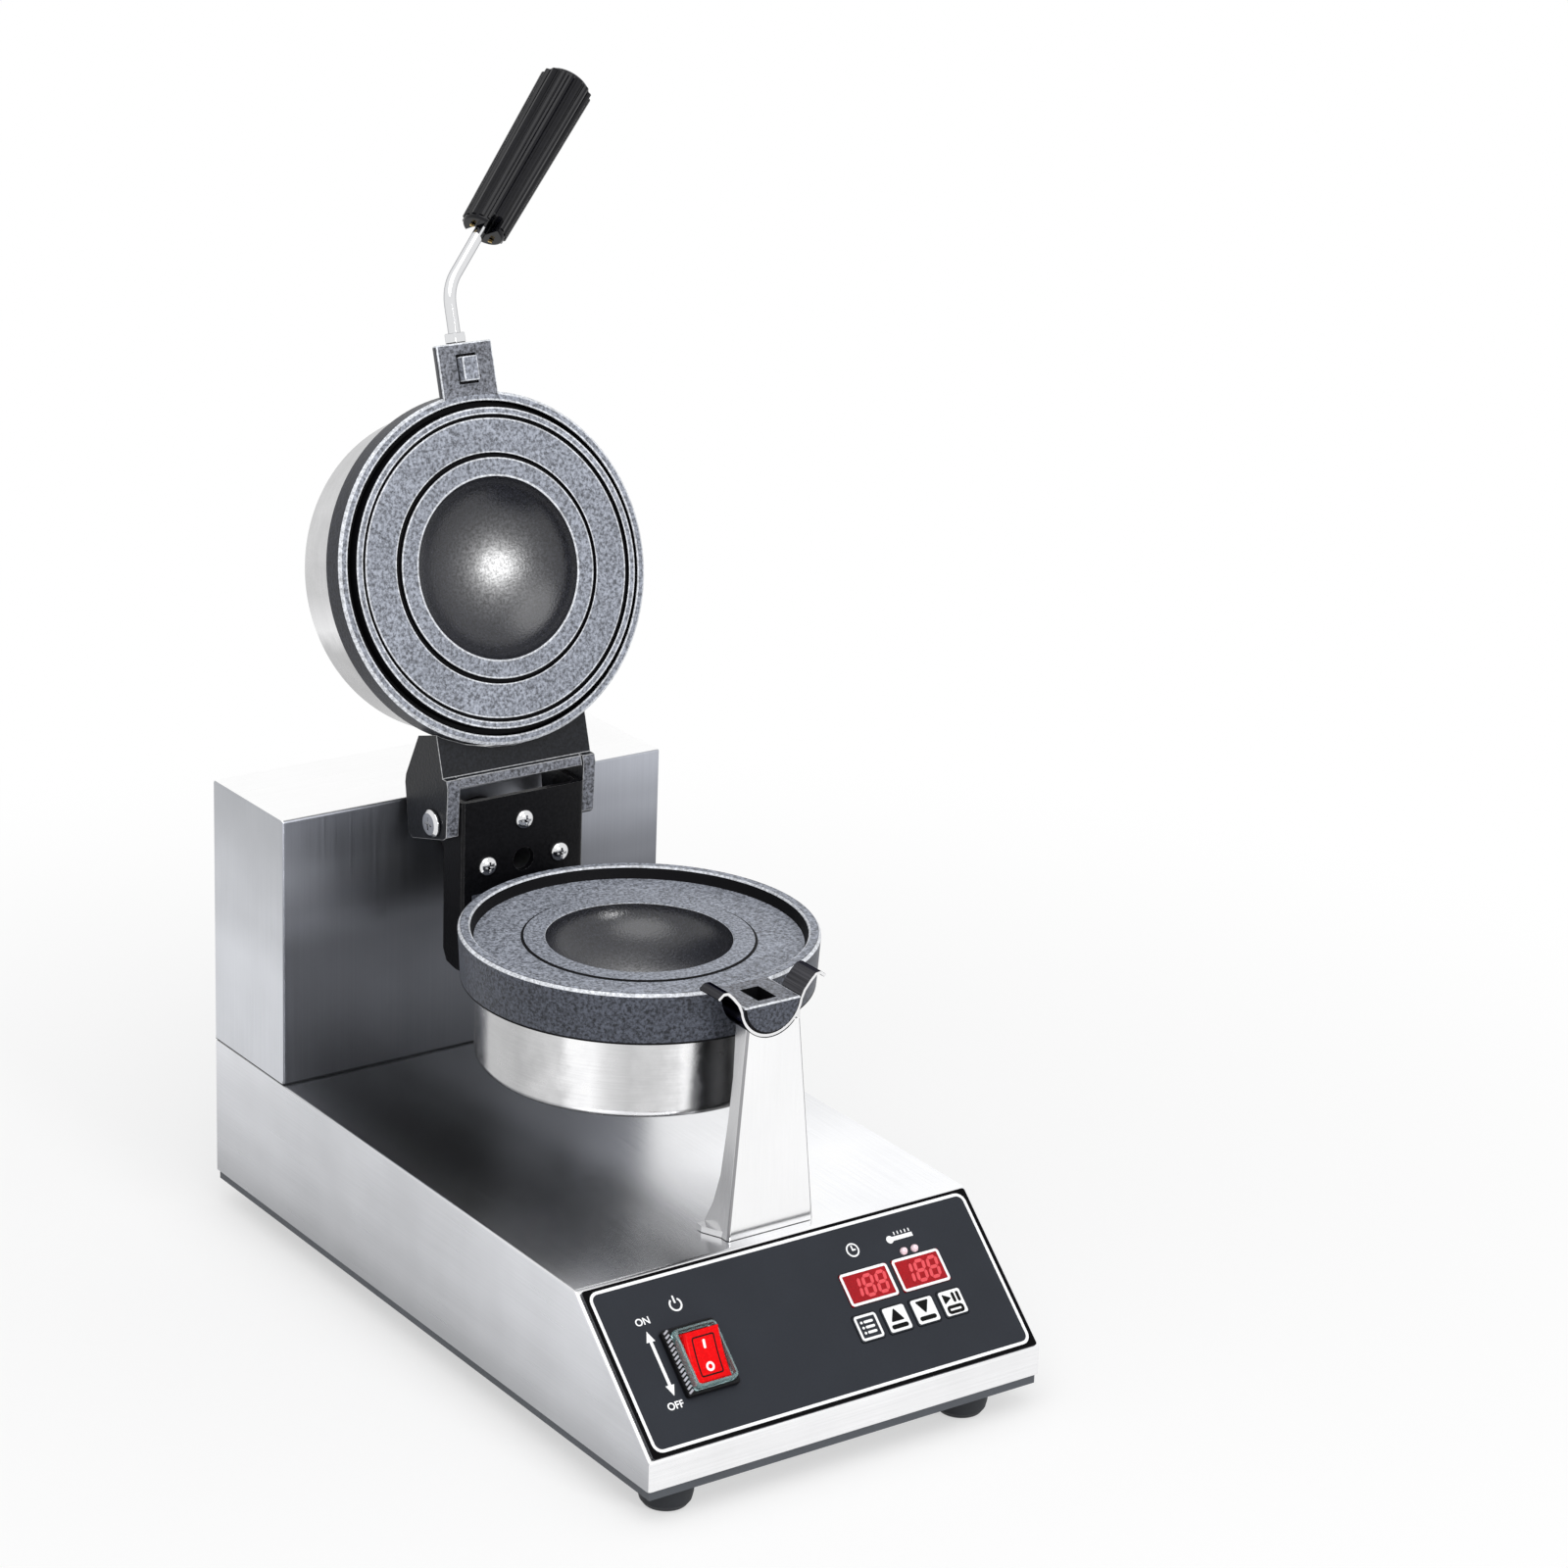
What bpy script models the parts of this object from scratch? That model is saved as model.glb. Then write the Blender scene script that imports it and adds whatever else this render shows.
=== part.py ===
"""Countertop press for filled buns, modelled with its lid open.

Two round cast plates close on a bun. Together they turn about a level axis, so that both sides bake:
a hollow shaft carries them at the back, and a half-round lug rests in a cradle at the front.
X points to the user's right, -Y to the user and +Z up. The origin lies on the table, below the
middle of the whole object. Sizes are in metres.
"""

from math import asin, atan2, cos, degrees, pi, radians, sin

import bmesh
import bpy
from mathutils import Matrix, Vector

# Overall sizes
WIDTH = 0.220
LENGTH = 0.400
GLAND_REACH = 0.0143
SHEET = 0.0012
GAP = 0.0003
FRONT_Y = -(LENGTH + GLAND_REACH - GAP) / 2
BACK_Y = FRONT_Y + LENGTH

# Base and tower
TRAY_BOTTOM = 0.013
HOUSING_BOTTOM = 0.018
LIP_TOP = 0.0322
BASE_TOP = 0.090
SLOPE_RUN = 0.063
SLOPE_ANGLE = atan2(BASE_TOP - LIP_TOP, SLOPE_RUN)
SLOPE_REACH = 0.0836  # from the slope's top edge down to the line the controls are measured from
TOWER_DEPTH = 0.070
TOWER_FRONT = BACK_Y - TOWER_DEPTH
TOWER_TOP = 0.229
FEET = {
    "front_left": (-0.0895, FRONT_Y + 0.0165),
    "front_right": (0.0775, FRONT_Y + 0.0175),
    "back_left": (-0.076, BACK_Y - 0.030),
    "back_right": (0.076, BACK_Y - 0.030),
}

# The baking head: it turns about an axis along Y, and its lid swings about one along X
TURN_Z = 0.204
PLATE_Y = FRONT_Y + 0.1815
PLATE_RADIUS = 0.086
BAND_FOOT_RADIUS = 0.0845
LOWER_BAND = 0.026
UPPER_BAND = 0.0135
UPPER_BAND_RADIUS = 0.0860
CUP_WALL = 0.001
LOWER_CUP_RADIUS = 0.0775
LOWER_CUP_DEPTH = 0.0665
UPPER_CUP_RADIUS = 0.0790
UPPER_CUP_DEPTH = 0.0520
BOWL_RADIUS = 0.0445
RING_RADIUS = 0.055
DISC_RADIUS = 0.073
LUG_REACH = 0.110
LUG_RADIUS = 0.0155
HINGE_Y = FRONT_Y + 0.300
HINGE_Z = 0.2255
LID_OPENING = radians(107)
HINGE_HALF = 0.0355
CHEEK = 0.007

# Shaft, yoke and bearing
SHAFT_RADIUS = 0.010
SHAFT_BORE = 0.006
YOKE_FRONT = HINGE_Y - 0.015
YOKE_SHEET = 0.003
YOKE_BOTTOM = 0.151
YOKE_BEND = 0.003
SCREW_CIRCLE = 0.0207

# Front post
POST_FRONT = FRONT_Y + 0.0695
POST_LEAN = 0.003
POST_X = 0.0018
POST_SHEET = 0.0015
CRADLE_INSIDE = LUG_RADIUS + 0.0004
CRADLE_SHEET = 0.0015
CRADLE_WIDTH = 0.0155

# Control panel, in the slope's own frame: across, up the slope, and out of it
PANEL_THICK = 0.0010
PANEL_TOP = GAP + PANEL_THICK
SWITCH_AT = (-0.0645, 0.0375)
DISPLAY_SIZE = (0.0270, 0.0164)
DISPLAYS = {"time_display": (0.0350, 0.0489), "temperature_display": (0.0650, 0.0489)}
LAMPS = {"time_lamp": (0.0608, 0.0600), "heat_lamp": (0.0670, 0.0600)}
KEY_SIZE = 0.0134
KEY_PITCH = 0.0162
KEY_FIRST = (0.0251, 0.0298)
KEY_TRAVEL = 0.0005
BOARD_DEPTH = 0.0090

# Finishes: base colour, roughness, metallic
BRUSHED_STEEL = ((0.62, 0.63, 0.65), 0.34, 1.0)
POLISHED_STEEL = ((0.76, 0.77, 0.79), 0.16, 1.0)
PLAIN_STEEL = ((0.45, 0.46, 0.48), 0.40, 1.0)
CHROME = ((0.80, 0.81, 0.83), 0.08, 1.0)
BRASS = ((0.78, 0.57, 0.24), 0.30, 1.0)
COATED_IRON = ((0.105, 0.110, 0.125), 0.55, 0.1)
BLACK_CASTING = ((0.022, 0.022, 0.025), 0.50, 0.1)
GREY_PAINT = ((0.11, 0.12, 0.14), 0.55, 0.0)
BLACK_RUBBER = ((0.018, 0.018, 0.020), 0.80, 0.0)
BLACK_PLASTIC = ((0.015, 0.015, 0.016), 0.38, 0.0)
PANEL_FILM = ((0.045, 0.048, 0.055), 0.45, 0.0)
RED_PLASTIC = ((0.75, 0.010, 0.012), 0.22, 0.0)
CLEAR_PLASTIC = ((0.60, 0.66, 0.66), 0.08, 0.0)
LAMP_LENS = ((0.75, 0.45, 0.52), 0.12, 0.0)
GREEN_BOARD = ((0.02, 0.16, 0.06), 0.50, 0.0)
PALE_PLASTIC = ((0.62, 0.60, 0.52), 0.50, 0.0)


def clear_scene():
    """Leave nothing of the startup scene."""
    for old in list(bpy.data.objects):
        bpy.data.objects.remove(old, do_unlink=True)


def turn_round(steps, start=0.0, sweep=2 * pi):
    """Angles of so many equal steps, without the last one on a full turn."""
    return [start + sweep * i / steps for i in range(steps)]


def arc(centre, radius, start, end, steps):
    """Points along an arc in a plane, both ends included; angles in degrees."""
    angles = [radians(start + (end - start) * i / steps) for i in range(steps + 1)]
    return [(centre[0] + radius * cos(a), centre[1] + radius * sin(a)) for a in angles]


def prism(outline, low, high, along="X"):
    """Extrude an outline from low to high. It is (y, z) along X, (x, z) along Y and (x, y) along Z."""
    bm = bmesh.new()
    put = {"X": lambda p, t: (t, *p), "Y": lambda p, t: (p[0], t, p[1]), "Z": lambda p, t: (*p, t)}[along]
    near = [bm.verts.new(put(p, low)) for p in outline]
    far = [bm.verts.new(put(p, high)) for p in outline]
    bm.faces.new(near)
    bm.faces.new(far)
    for i in range(len(outline)):
        j = (i + 1) % len(outline)
        bm.faces.new((near[i], near[j], far[j], far[i]))
    bmesh.ops.recalc_face_normals(bm, faces=bm.faces)
    return bm


def box(x, y, z):
    """A block between the two values given on each axis."""
    return prism([(x[0], y[0]), (x[1], y[0]), (x[1], y[1]), (x[0], y[1])], z[0], z[1], "Z")


def lofted(rings):
    """A closed solid through rings of points, all with the same count, capped at both ends."""
    bm = bmesh.new()
    rows = [[bm.verts.new(p) for p in ring] for ring in rings]
    bm.faces.new(rows[0])
    bm.faces.new(rows[-1])
    for low, high in zip(rows, rows[1:]):
        for i in range(len(low)):
            j = (i + 1) % len(low)
            bm.faces.new((low[i], low[j], high[j], high[i]))
    bmesh.ops.recalc_face_normals(bm, faces=bm.faces)
    return bm


def turned(profile, sides=40):
    """Spin a profile of (radius, height) about Z. One that starts off the axis closes into a ring."""
    bm = bmesh.new()
    rings = []
    for radius, height in profile:
        count = sides if radius > 0 else 1
        rings.append([bm.verts.new((radius * cos(a), radius * sin(a), height)) for a in turn_round(count)])
    pairs = list(zip(rings, rings[1:]))
    if profile[0][0] > 0:
        pairs.append((rings[-1], rings[0]))
    for low, high in pairs:
        for i in range(sides):
            j = (i + 1) % sides
            corners = [low[i % len(low)], low[j % len(low)], high[j % len(high)], high[i % len(high)]]
            bm.faces.new(list(dict.fromkeys(corners)))
    bmesh.ops.recalc_face_normals(bm, faces=bm.faces)
    return bm


def moved(bm, *steps):
    """Apply matrices to a bmesh, the last one given first."""
    matrix = Matrix.Identity(4)
    for step in steps:
        matrix = matrix @ step
    bm.transform(matrix)
    return bm


def at(x, y, z):
    return Matrix.Translation((x, y, z))


# Turns a shape made along Z so that it lies along +Y, or along +X
ALONG_Y = Matrix.Rotation(-pi / 2, 4, "X")
ALONG_X = Matrix.Rotation(pi / 2, 4, "Y")


def plain_cylinder(radius, low, high, sides=16):
    return turned([(0, low), (radius, low), (radius, high), (0, high)], sides)


def rounded(width, height, radius, steps=3):
    """Outline of a rectangle with round corners, about its middle."""
    points = []
    for quarter, (sx, sy) in enumerate([(1, 1), (-1, 1), (-1, -1), (1, -1)]):
        centre = (sx * (width / 2 - radius), sy * (height / 2 - radius))
        points += arc(centre, radius, 90 * quarter, 90 * quarter + 90, steps)
    return points


def shifted(outline, dx, dy):
    return [(x + dx, y + dy) for x, y in outline]


def drawn_in(outline, distance):
    """A convex outline, counter-clockwise, with every side moved inwards."""
    lines = []
    for i, p in enumerate(outline):
        a, b = Vector(p), Vector(outline[(i + 1) % len(outline)])
        along = (b - a).normalized()
        lines.append((a + Vector((-along.y, along.x)) * distance, along))
    inner = []
    for (a, u), (b, v) in zip(lines[-1:] + lines[:-1], lines):
        run = ((b.x - a.x) * v.y - (b.y - a.y) * v.x) / (u.x * v.y - u.y * v.x)
        inner.append(tuple(a + u * run))
    return inner


def sheet_with_holes(outline, holes, low, high):
    """A flat plate across Z, with holes of any outline."""
    bm = bmesh.new()
    edges = []
    for loop in [outline] + holes:
        verts = [bm.verts.new((x, y, low)) for x, y in loop]
        edges += [bm.edges.new((verts[i], verts[(i + 1) % len(verts)])) for i in range(len(verts))]
    bmesh.ops.triangle_fill(bm, use_beauty=True, edges=edges)
    grown = bmesh.ops.extrude_face_region(bm, geom=list(bm.faces), use_keep_orig=True)
    for v in [g for g in grown["geom"] if isinstance(g, bmesh.types.BMVert)]:
        v.co.z = high
    bmesh.ops.recalc_face_normals(bm, faces=bm.faces)
    return bm


def bend_edges(bm, radius, above, steps=2):
    """Round the edges of a folded sheet, apart from those of its open bottom."""
    edges = [e for e in bm.edges if max(v.co.z for v in e.verts) > above + 1e-4]
    bmesh.ops.bevel(bm, geom=edges, offset=radius, segments=steps, profile=0.5, affect="EDGES")
    return bm


def material(name, finish):
    """A Principled material with the piece's colour, roughness and metallic value."""
    colour, roughness, metallic = finish
    mat = bpy.data.materials.new(name)
    mat.use_nodes = True
    shader = mat.node_tree.nodes["Principled BSDF"]
    shader.inputs["Base Color"].default_value = (*colour, 1.0)
    shader.inputs["Roughness"].default_value = roughness
    shader.inputs["Metallic"].default_value = metallic
    mat.diffuse_color = (*colour, 1.0)
    return mat


def axis_empty(name, place, turn=None, parent=None):
    """An empty that carries pieces; place is in the world as it is before the empty's own turn."""
    empty = bpy.data.objects.new(name, None)
    bpy.context.scene.collection.objects.link(empty)
    start = Vector(parent["start"]) if parent else Vector((0, 0, 0))
    empty.parent = parent
    empty["start"] = place
    empty.matrix_local = Matrix.Translation(Vector(place) - start) @ (turn or Matrix.Identity(4))
    return empty


def keep(name, bm, finish=None, carrier=None, local=False):
    """Make an object of a bmesh. Its shape is drawn in place, and moves into its carrier's frame."""
    if carrier and not local:
        bm.transform(Matrix.Translation(-Vector(carrier["start"])))
    mesh = bpy.data.meshes.new(name)
    bm.to_mesh(mesh)
    bm.free()
    obj = bpy.data.objects.new(name, mesh)
    bpy.context.scene.collection.objects.link(obj)
    obj.parent = carrier
    if finish:
        obj.data.materials.append(material(name, finish))
    else:
        obj.hide_render = True
        obj.display_type = "WIRE"
    return obj


def shape_with(obj, operation, bm, carrier=None, local=False):
    """Cut from an object (DIFFERENCE) or add to it (UNION) the shape in a bmesh."""
    count = len(obj.modifiers) + 1
    tool = keep(f"{obj.name}_{operation.lower()}_{count}", bm, None, carrier, local=local)
    modifier = obj.modifiers.new(tool.name, "BOOLEAN")
    modifier.operation = operation
    modifier.solver = "EXACT"
    modifier.object = tool


def settle_all():
    """Put the results of the Booleans into the meshes, drop their tools, and shade round faces smooth."""
    graph = bpy.context.evaluated_depsgraph_get()
    pieces = [obj for obj in bpy.data.objects if obj.type in ("MESH", "CURVE") and not obj.hide_render]
    finished = {obj: bpy.data.meshes.new_from_object(obj.evaluated_get(graph)) for obj in pieces}
    for obj, mesh in finished.items():
        if obj.type == "MESH":
            obj.modifiers.clear()
            obj.data = mesh
            mesh.shade_smooth()
            mesh.set_sharp_from_angle(angle=radians(32))
            mesh.name = obj.name
    for obj in list(bpy.data.objects):
        if obj.type == "MESH" and obj.hide_render:
            bpy.data.objects.remove(obj, do_unlink=True)


def cut(obj, bm, carrier=None, local=False):
    shape_with(obj, "DIFFERENCE", bm, carrier, local)


def add(obj, bm, carrier=None, local=False):
    shape_with(obj, "UNION", bm, carrier, local)


def slope_frame():
    """The matrix that puts (across, up the slope, out of it) into the world."""
    turn = Matrix.Rotation(SLOPE_ANGLE, 4, "X")
    return at(0, FRONT_Y + SLOPE_RUN, BASE_TOP) @ turn @ at(0, -SLOPE_REACH, 0)


def base_outline():
    """Side view of the base, counter-clockwise in (y, z)."""
    return [
        (FRONT_Y, HOUSING_BOTTOM),
        (BACK_Y, HOUSING_BOTTOM),
        (BACK_Y, BASE_TOP),
        (FRONT_Y + SLOPE_RUN, BASE_TOP),
        (FRONT_Y, LIP_TOP),
    ]


GLAND_AT = (0.060, 0.045)
WIRE_HOLE_AT = (-0.060, TOWER_FRONT + TOWER_DEPTH / 2)
POST_SCREW_X = 0.0120
POST_SCREW_Y = POST_FRONT + 0.0095


def build_base():
    """Folded housing with its panel openings, the tray that closes it, and four rubber feet."""
    housing = keep(
        "base_housing",
        bend_edges(prism(base_outline(), -WIDTH / 2, WIDTH / 2), 0.0016, HOUSING_BOTTOM),
        BRUSHED_STEEL,
    )
    inside = drawn_in(base_outline(), SHEET)
    inside = [(y, z if z > HOUSING_BOTTOM + 2 * SHEET else HOUSING_BOTTOM - 0.01) for y, z in inside]
    cut(housing, prism(inside, SHEET - WIDTH / 2, WIDTH / 2 - SHEET))
    openings = [
        shifted(rounded(0.0226, 0.0286, 0.001, 1), *SWITCH_AT),
        shifted(rounded(0.0700, 0.0480, 0.002, 1), 0.0500, 0.0425),
    ]
    for opening in openings:
        cut(housing, moved(prism(opening, -0.006, 0.006, "Z"), slope_frame()))
    cut(housing, moved(plain_cylinder(0.012, -0.005, 0.005), at(*WIRE_HOLE_AT, BASE_TOP)))
    gland_hole = plain_cylinder(0.0083, -0.005, 0.005)
    cut(housing, moved(gland_hole, at(GLAND_AT[0], BACK_Y, GLAND_AT[1]), ALONG_Y))
    for side in (-1, 1):
        hole = plain_cylinder(0.0023, -0.004, 0.004, 8)
        cut(housing, moved(hole, at(POST_X + side * POST_SCREW_X, POST_SCREW_Y, BASE_TOP)))

    wide = WIDTH / 2 - SHEET - GAP
    front, back = FRONT_Y + SHEET + GAP, BACK_Y - SHEET - GAP
    tray_top = HOUSING_BOTTOM + 0.008
    tray = keep("bottom_tray", box((-wide, wide), (front, back), (TRAY_BOTTOM, tray_top)), GREY_PAINT)
    floor = TRAY_BOTTOM + SHEET
    hollow = box((SHEET - wide, wide - SHEET), (front + SHEET, back - SHEET), (floor, tray_top + 0.01))
    cut(tray, hollow)
    for row in range(5):
        y = -0.040 + 0.020 * row
        cut(tray, box((-0.030, 0.030), (y, y + 0.005), (TRAY_BOTTOM - 0.005, floor + 0.005)))

    top = TRAY_BOTTOM - GAP
    foot = [(0, 0), (0.0075, 0), (0.0102, 0.0010), (0.0120, 0.0035), (0.0128, 0.0070)]
    foot += [(0.0128, top), (0, top)]
    for name, (x, y) in FEET.items():
        keep(f"foot_{name}", moved(turned(foot, 20), at(x, y, 0)), BLACK_RUBBER)


def build_gland():
    """The cable gland in the back wall: a hexagon and dome outside, and its nut inside."""
    bore, thread = 0.0045, 0.0080
    face = GAP
    profile = [
        (bore, -0.012),
        (thread, -0.012),
        (thread, face),
        (0.0110, face),
        (0.0110, face + 0.006),
        (0.0098, face + 0.007),
        (0.0088, GLAND_REACH - 0.0015),
        (0.0070, GLAND_REACH),
        (bore, GLAND_REACH),
    ]
    place = at(GLAND_AT[0], BACK_Y, GLAND_AT[1])
    keep("cable_gland", moved(turned(profile, 18), place, ALONG_Y), BLACK_PLASTIC)
    nut = [(thread + GAP, -SHEET - 0.0053), (0.0118, -SHEET - 0.0053)]
    nut += [(0.0118, -SHEET - GAP), (thread + GAP, -SHEET - GAP)]
    keep("gland_nut", moved(turned(nut, 12), place, ALONG_Y), BLACK_PLASTIC)


BRACKET_FRONT = TOWER_FRONT + SHEET + GAP
BRACKET_THICK = 0.003
BEARING_NOSE = 0.018
BEARING_FLANGE = BRACKET_FRONT + BRACKET_THICK + GAP
BEARING_BACK = BEARING_FLANGE + 0.020
BEARING_BOLT_X = 0.0255


def build_tower():
    """The tower's cover, and the bracket and bearing that it hides."""
    outline = [
        (TOWER_FRONT, BASE_TOP + GAP),
        (BACK_Y, BASE_TOP + GAP),
        (BACK_Y, TOWER_TOP),
        (TOWER_FRONT, TOWER_TOP),
    ]
    folded = bend_edges(prism(outline, -WIDTH / 2, WIDTH / 2), 0.0016, BASE_TOP + GAP)
    cover = keep("tower_cover", folded, BRUSHED_STEEL)
    inside = drawn_in(outline, SHEET)
    inside = [(y, z if z > BASE_TOP + 2 * SHEET else BASE_TOP - 0.01) for y, z in inside]
    cut(cover, prism(inside, SHEET - WIDTH / 2, WIDTH / 2 - SHEET))
    nose_hole = plain_cylinder(BEARING_NOSE + GAP, -0.004, 0.008, 24)
    cut(cover, moved(nose_hole, at(0, TOWER_FRONT, TURN_Z), ALONG_Y))
    for column in (-0.045, 0.045):
        for row in range(5):
            z = 0.128 + 0.012 * row
            slot = box((column - 0.018, column + 0.018), (BACK_Y - 0.006, BACK_Y + 0.004), (z, z + 0.004))
            cut(cover, slot)

    foot_top = BASE_TOP + GAP + BRACKET_THICK
    angle = [
        (BRACKET_FRONT, BASE_TOP + GAP),
        (BRACKET_FRONT + 0.045, BASE_TOP + GAP),
        (BRACKET_FRONT + 0.045, foot_top),
        (BRACKET_FRONT + BRACKET_THICK, foot_top),
        (BRACKET_FRONT + BRACKET_THICK, 0.2265),
        (BRACKET_FRONT, 0.2265),
    ]
    bracket = keep("tower_bracket", prism(angle, -0.045, 0.045), PLAIN_STEEL)
    nose_hole = plain_cylinder(BEARING_NOSE + GAP, -0.002, 0.006, 24)
    cut(bracket, moved(nose_hole, at(0, BRACKET_FRONT, TURN_Z), ALONG_Y))

    bore = SHAFT_RADIUS + GAP
    nose_front = TOWER_FRONT - 0.008
    profile = [
        (bore, nose_front),
        (BEARING_NOSE - 0.001, nose_front),
        (BEARING_NOSE, nose_front + 0.001),
        (BEARING_NOSE, BEARING_FLANGE),
        (0.031, BEARING_FLANGE),
        (0.031, BEARING_FLANGE + 0.005),
        (0.019, BEARING_FLANGE + 0.006),
        (0.019, BEARING_BACK),
        (bore, BEARING_BACK),
    ]
    clip = 0.0222
    block = keep("bearing_block", moved(turned(profile, 24), at(0, 0, TURN_Z), ALONG_Y), BLACK_CASTING)
    cut(block, box((-0.04, 0.04), (BRACKET_FRONT, BEARING_BACK + 0.01), (TURN_Z + clip, TURN_Z + 0.04)))
    for side, name in ((-1, "left"), (1, "right")):
        spot = at(side * BEARING_BOLT_X, BEARING_FLANGE, TURN_Z)
        for piece in (block, bracket):
            cut(piece, moved(plain_cylinder(0.0028, -0.006, 0.010, 8), spot, ALONG_Y))
        head = 0.006 + GAP
        bolt = [(0, -BRACKET_THICK), (0.0025, -BRACKET_THICK), (0.0025, head), (0.0046, head)]
        bolt += [(0.0046, head + 0.0035), (0, head + 0.0035)]
        keep(f"bearing_bolt_{name}", moved(turned(bolt, 8), spot, ALONG_Y), PLAIN_STEEL)


POST_LEVELS = [
    (BASE_TOP + GAP, 0.0205),
    (0.0945, 0.0190),
    (0.1045, 0.0140),
    (0.1190, 0.0103),
    (0.1450, 0.0085),
    (0.1670, 0.0078),
    (TURN_Z - 0.0120, 0.0095),
]


def post_shape(inset, reach):
    """The post's solid, with its faces moved in, and its back and both ends moved out by reach."""
    low_z, high_z = POST_LEVELS[0][0], POST_LEVELS[-1][0]
    rings = []
    for i, (z, depth) in enumerate(POST_LEVELS):
        t = (z - low_z) / (high_z - low_z)
        half = 0.0242 + (0.0148 - 0.0242) * t - inset
        front = POST_FRONT + POST_LEAN * t + inset
        back = POST_FRONT + POST_LEAN * t + depth + reach
        level = z - reach if i == 0 else z + reach if i == len(POST_LEVELS) - 1 else z
        left, right = POST_X - half, POST_X + half
        corners = [(left, front), (right, front), (right, back), (left, back)]
        rings.append([(x, y, level) for x, y in corners])
    return lofted(rings)


def build_post():
    """The folded post with its feet, and the cradle in which the head's front lug turns."""
    foot_z = BASE_TOP + GAP
    wall = POST_SHEET
    post = keep("front_post", post_shape(0, 0), POLISHED_STEEL)
    cut(post, post_shape(wall, 0.010))
    edge = 0.0242
    wide = (POST_X - edge + 0.001, POST_X + edge - 0.001)
    add(post, box(wide, (POST_FRONT + 0.001, POST_FRONT + 0.019), (foot_z, foot_z + wall)))
    for side in (-1, 1):
        inner, outer = POST_X + side * (edge - 0.001), POST_X + side * (edge + 0.0045)
        flare = [(inner, POST_FRONT + 0.003), (outer, POST_FRONT + 0.0150), (outer, POST_FRONT + 0.0190)]
        flare += [(inner, POST_FRONT + 0.0190)]
        add(post, prism(flare if side > 0 else flare[::-1], foot_z, foot_z + 2 * wall, "Z"))
        hole = plain_cylinder(0.0023, -0.01, 0.01, 8)
        cut(post, moved(hole, at(POST_X + side * POST_SCREW_X, POST_SCREW_Y, foot_z)))
    saddle = plain_cylinder(CRADLE_INSIDE + CRADLE_SHEET + GAP, -0.02, 0.06, 24)
    cut(post, moved(saddle, at(0, POST_FRONT, TURN_Z), ALONG_Y))

    screw = [(0, -0.004), (0.0020, -0.004), (0.0020, wall + GAP), (0.0042, wall + GAP)]
    screw += [(0.0036, wall + GAP + 0.0018), (0, wall + GAP + 0.0024)]
    for side, name in ((-1, "left"), (1, "right")):
        spot = at(POST_X + side * POST_SCREW_X, POST_SCREW_Y, foot_z)
        keep(f"post_screw_{name}", moved(turned(screw, 10), spot), PLAIN_STEEL)

    # The strip's middle line: a half ring, then an ear that slopes out and hooks over
    middle = CRADLE_INSIDE + CRADLE_SHEET / 2
    line = arc((0, 0), middle, 270, 352, 8)
    line += [(0.0182, 0.0015), (0.0215, 0.0055), (0.0243, 0.0082), (0.0268, 0.0084), (0.0296, 0.0062)]
    left = [(-x, z) for x, z in reversed(line[1:])]
    line = left + line
    low, high = [], []
    for i, (x, z) in enumerate(line):
        before, after = line[max(i - 1, 0)], line[min(i + 1, len(line) - 1)]
        run = Vector((after[0] - before[0], after[1] - before[1])).normalized()
        offset = Vector((-run.y, run.x)) * CRADLE_SHEET / 2
        high.append((x + offset.x, z + offset.y + TURN_Z))
        low.append((x - offset.x, z - offset.y + TURN_Z))
    cradle_front = POST_FRONT + POST_LEAN
    strip = prism(low + high[::-1], cradle_front, cradle_front + CRADLE_WIDTH, "Y")
    keep("cradle", strip, POLISHED_STEEL)


def half_disc(radius, below):
    """Half of a disc about the turning axis, in (x, z), on one side of the parting plane."""
    level = -GAP if below else GAP
    edge = degrees(asin(GAP / radius))
    if below:
        outline = arc((0, 0), radius, 180 + edge, 360 - edge, 12)
    else:
        outline = arc((0, 0), radius, edge, 180 - edge, 12)
    outline[0] = (outline[0][0], level)
    outline[-1] = (outline[-1][0], level)
    return shifted(outline, 0, TURN_Z)


def bowl_curve(radius, depth, start, steps=6):
    """Profile of a bowl's wall from its edge to its middle; depth may be negative."""
    points = []
    for i in range(steps + 1):
        a = pi / 2 * i / steps
        points.append((radius * cos(a) if i < steps else 0.0, start + depth * sin(a)))
    return points


def cup_profile(radius, hole_radius, end, rim):
    """Section of a thin cup, from its closed end, with a round edge, to its rim."""
    inward = 1 if rim > end else -1
    wall, bend = CUP_WALL, 0.005
    profile = [(hole_radius, end)]
    for angle in (0, 30, 60, 90):
        a = radians(angle)
        profile.append((radius - bend + bend * sin(a), end + inward * bend * (1 - cos(a))))
    profile += [(radius, rim), (radius - wall, rim)]
    for angle in (90, 45, 0):
        a, inner = radians(angle), bend - wall
        profile.append((radius - bend + inner * sin(a), end + inward * (bend - inner * cos(a))))
    return profile + [(hole_radius, end + inward * wall)]


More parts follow.
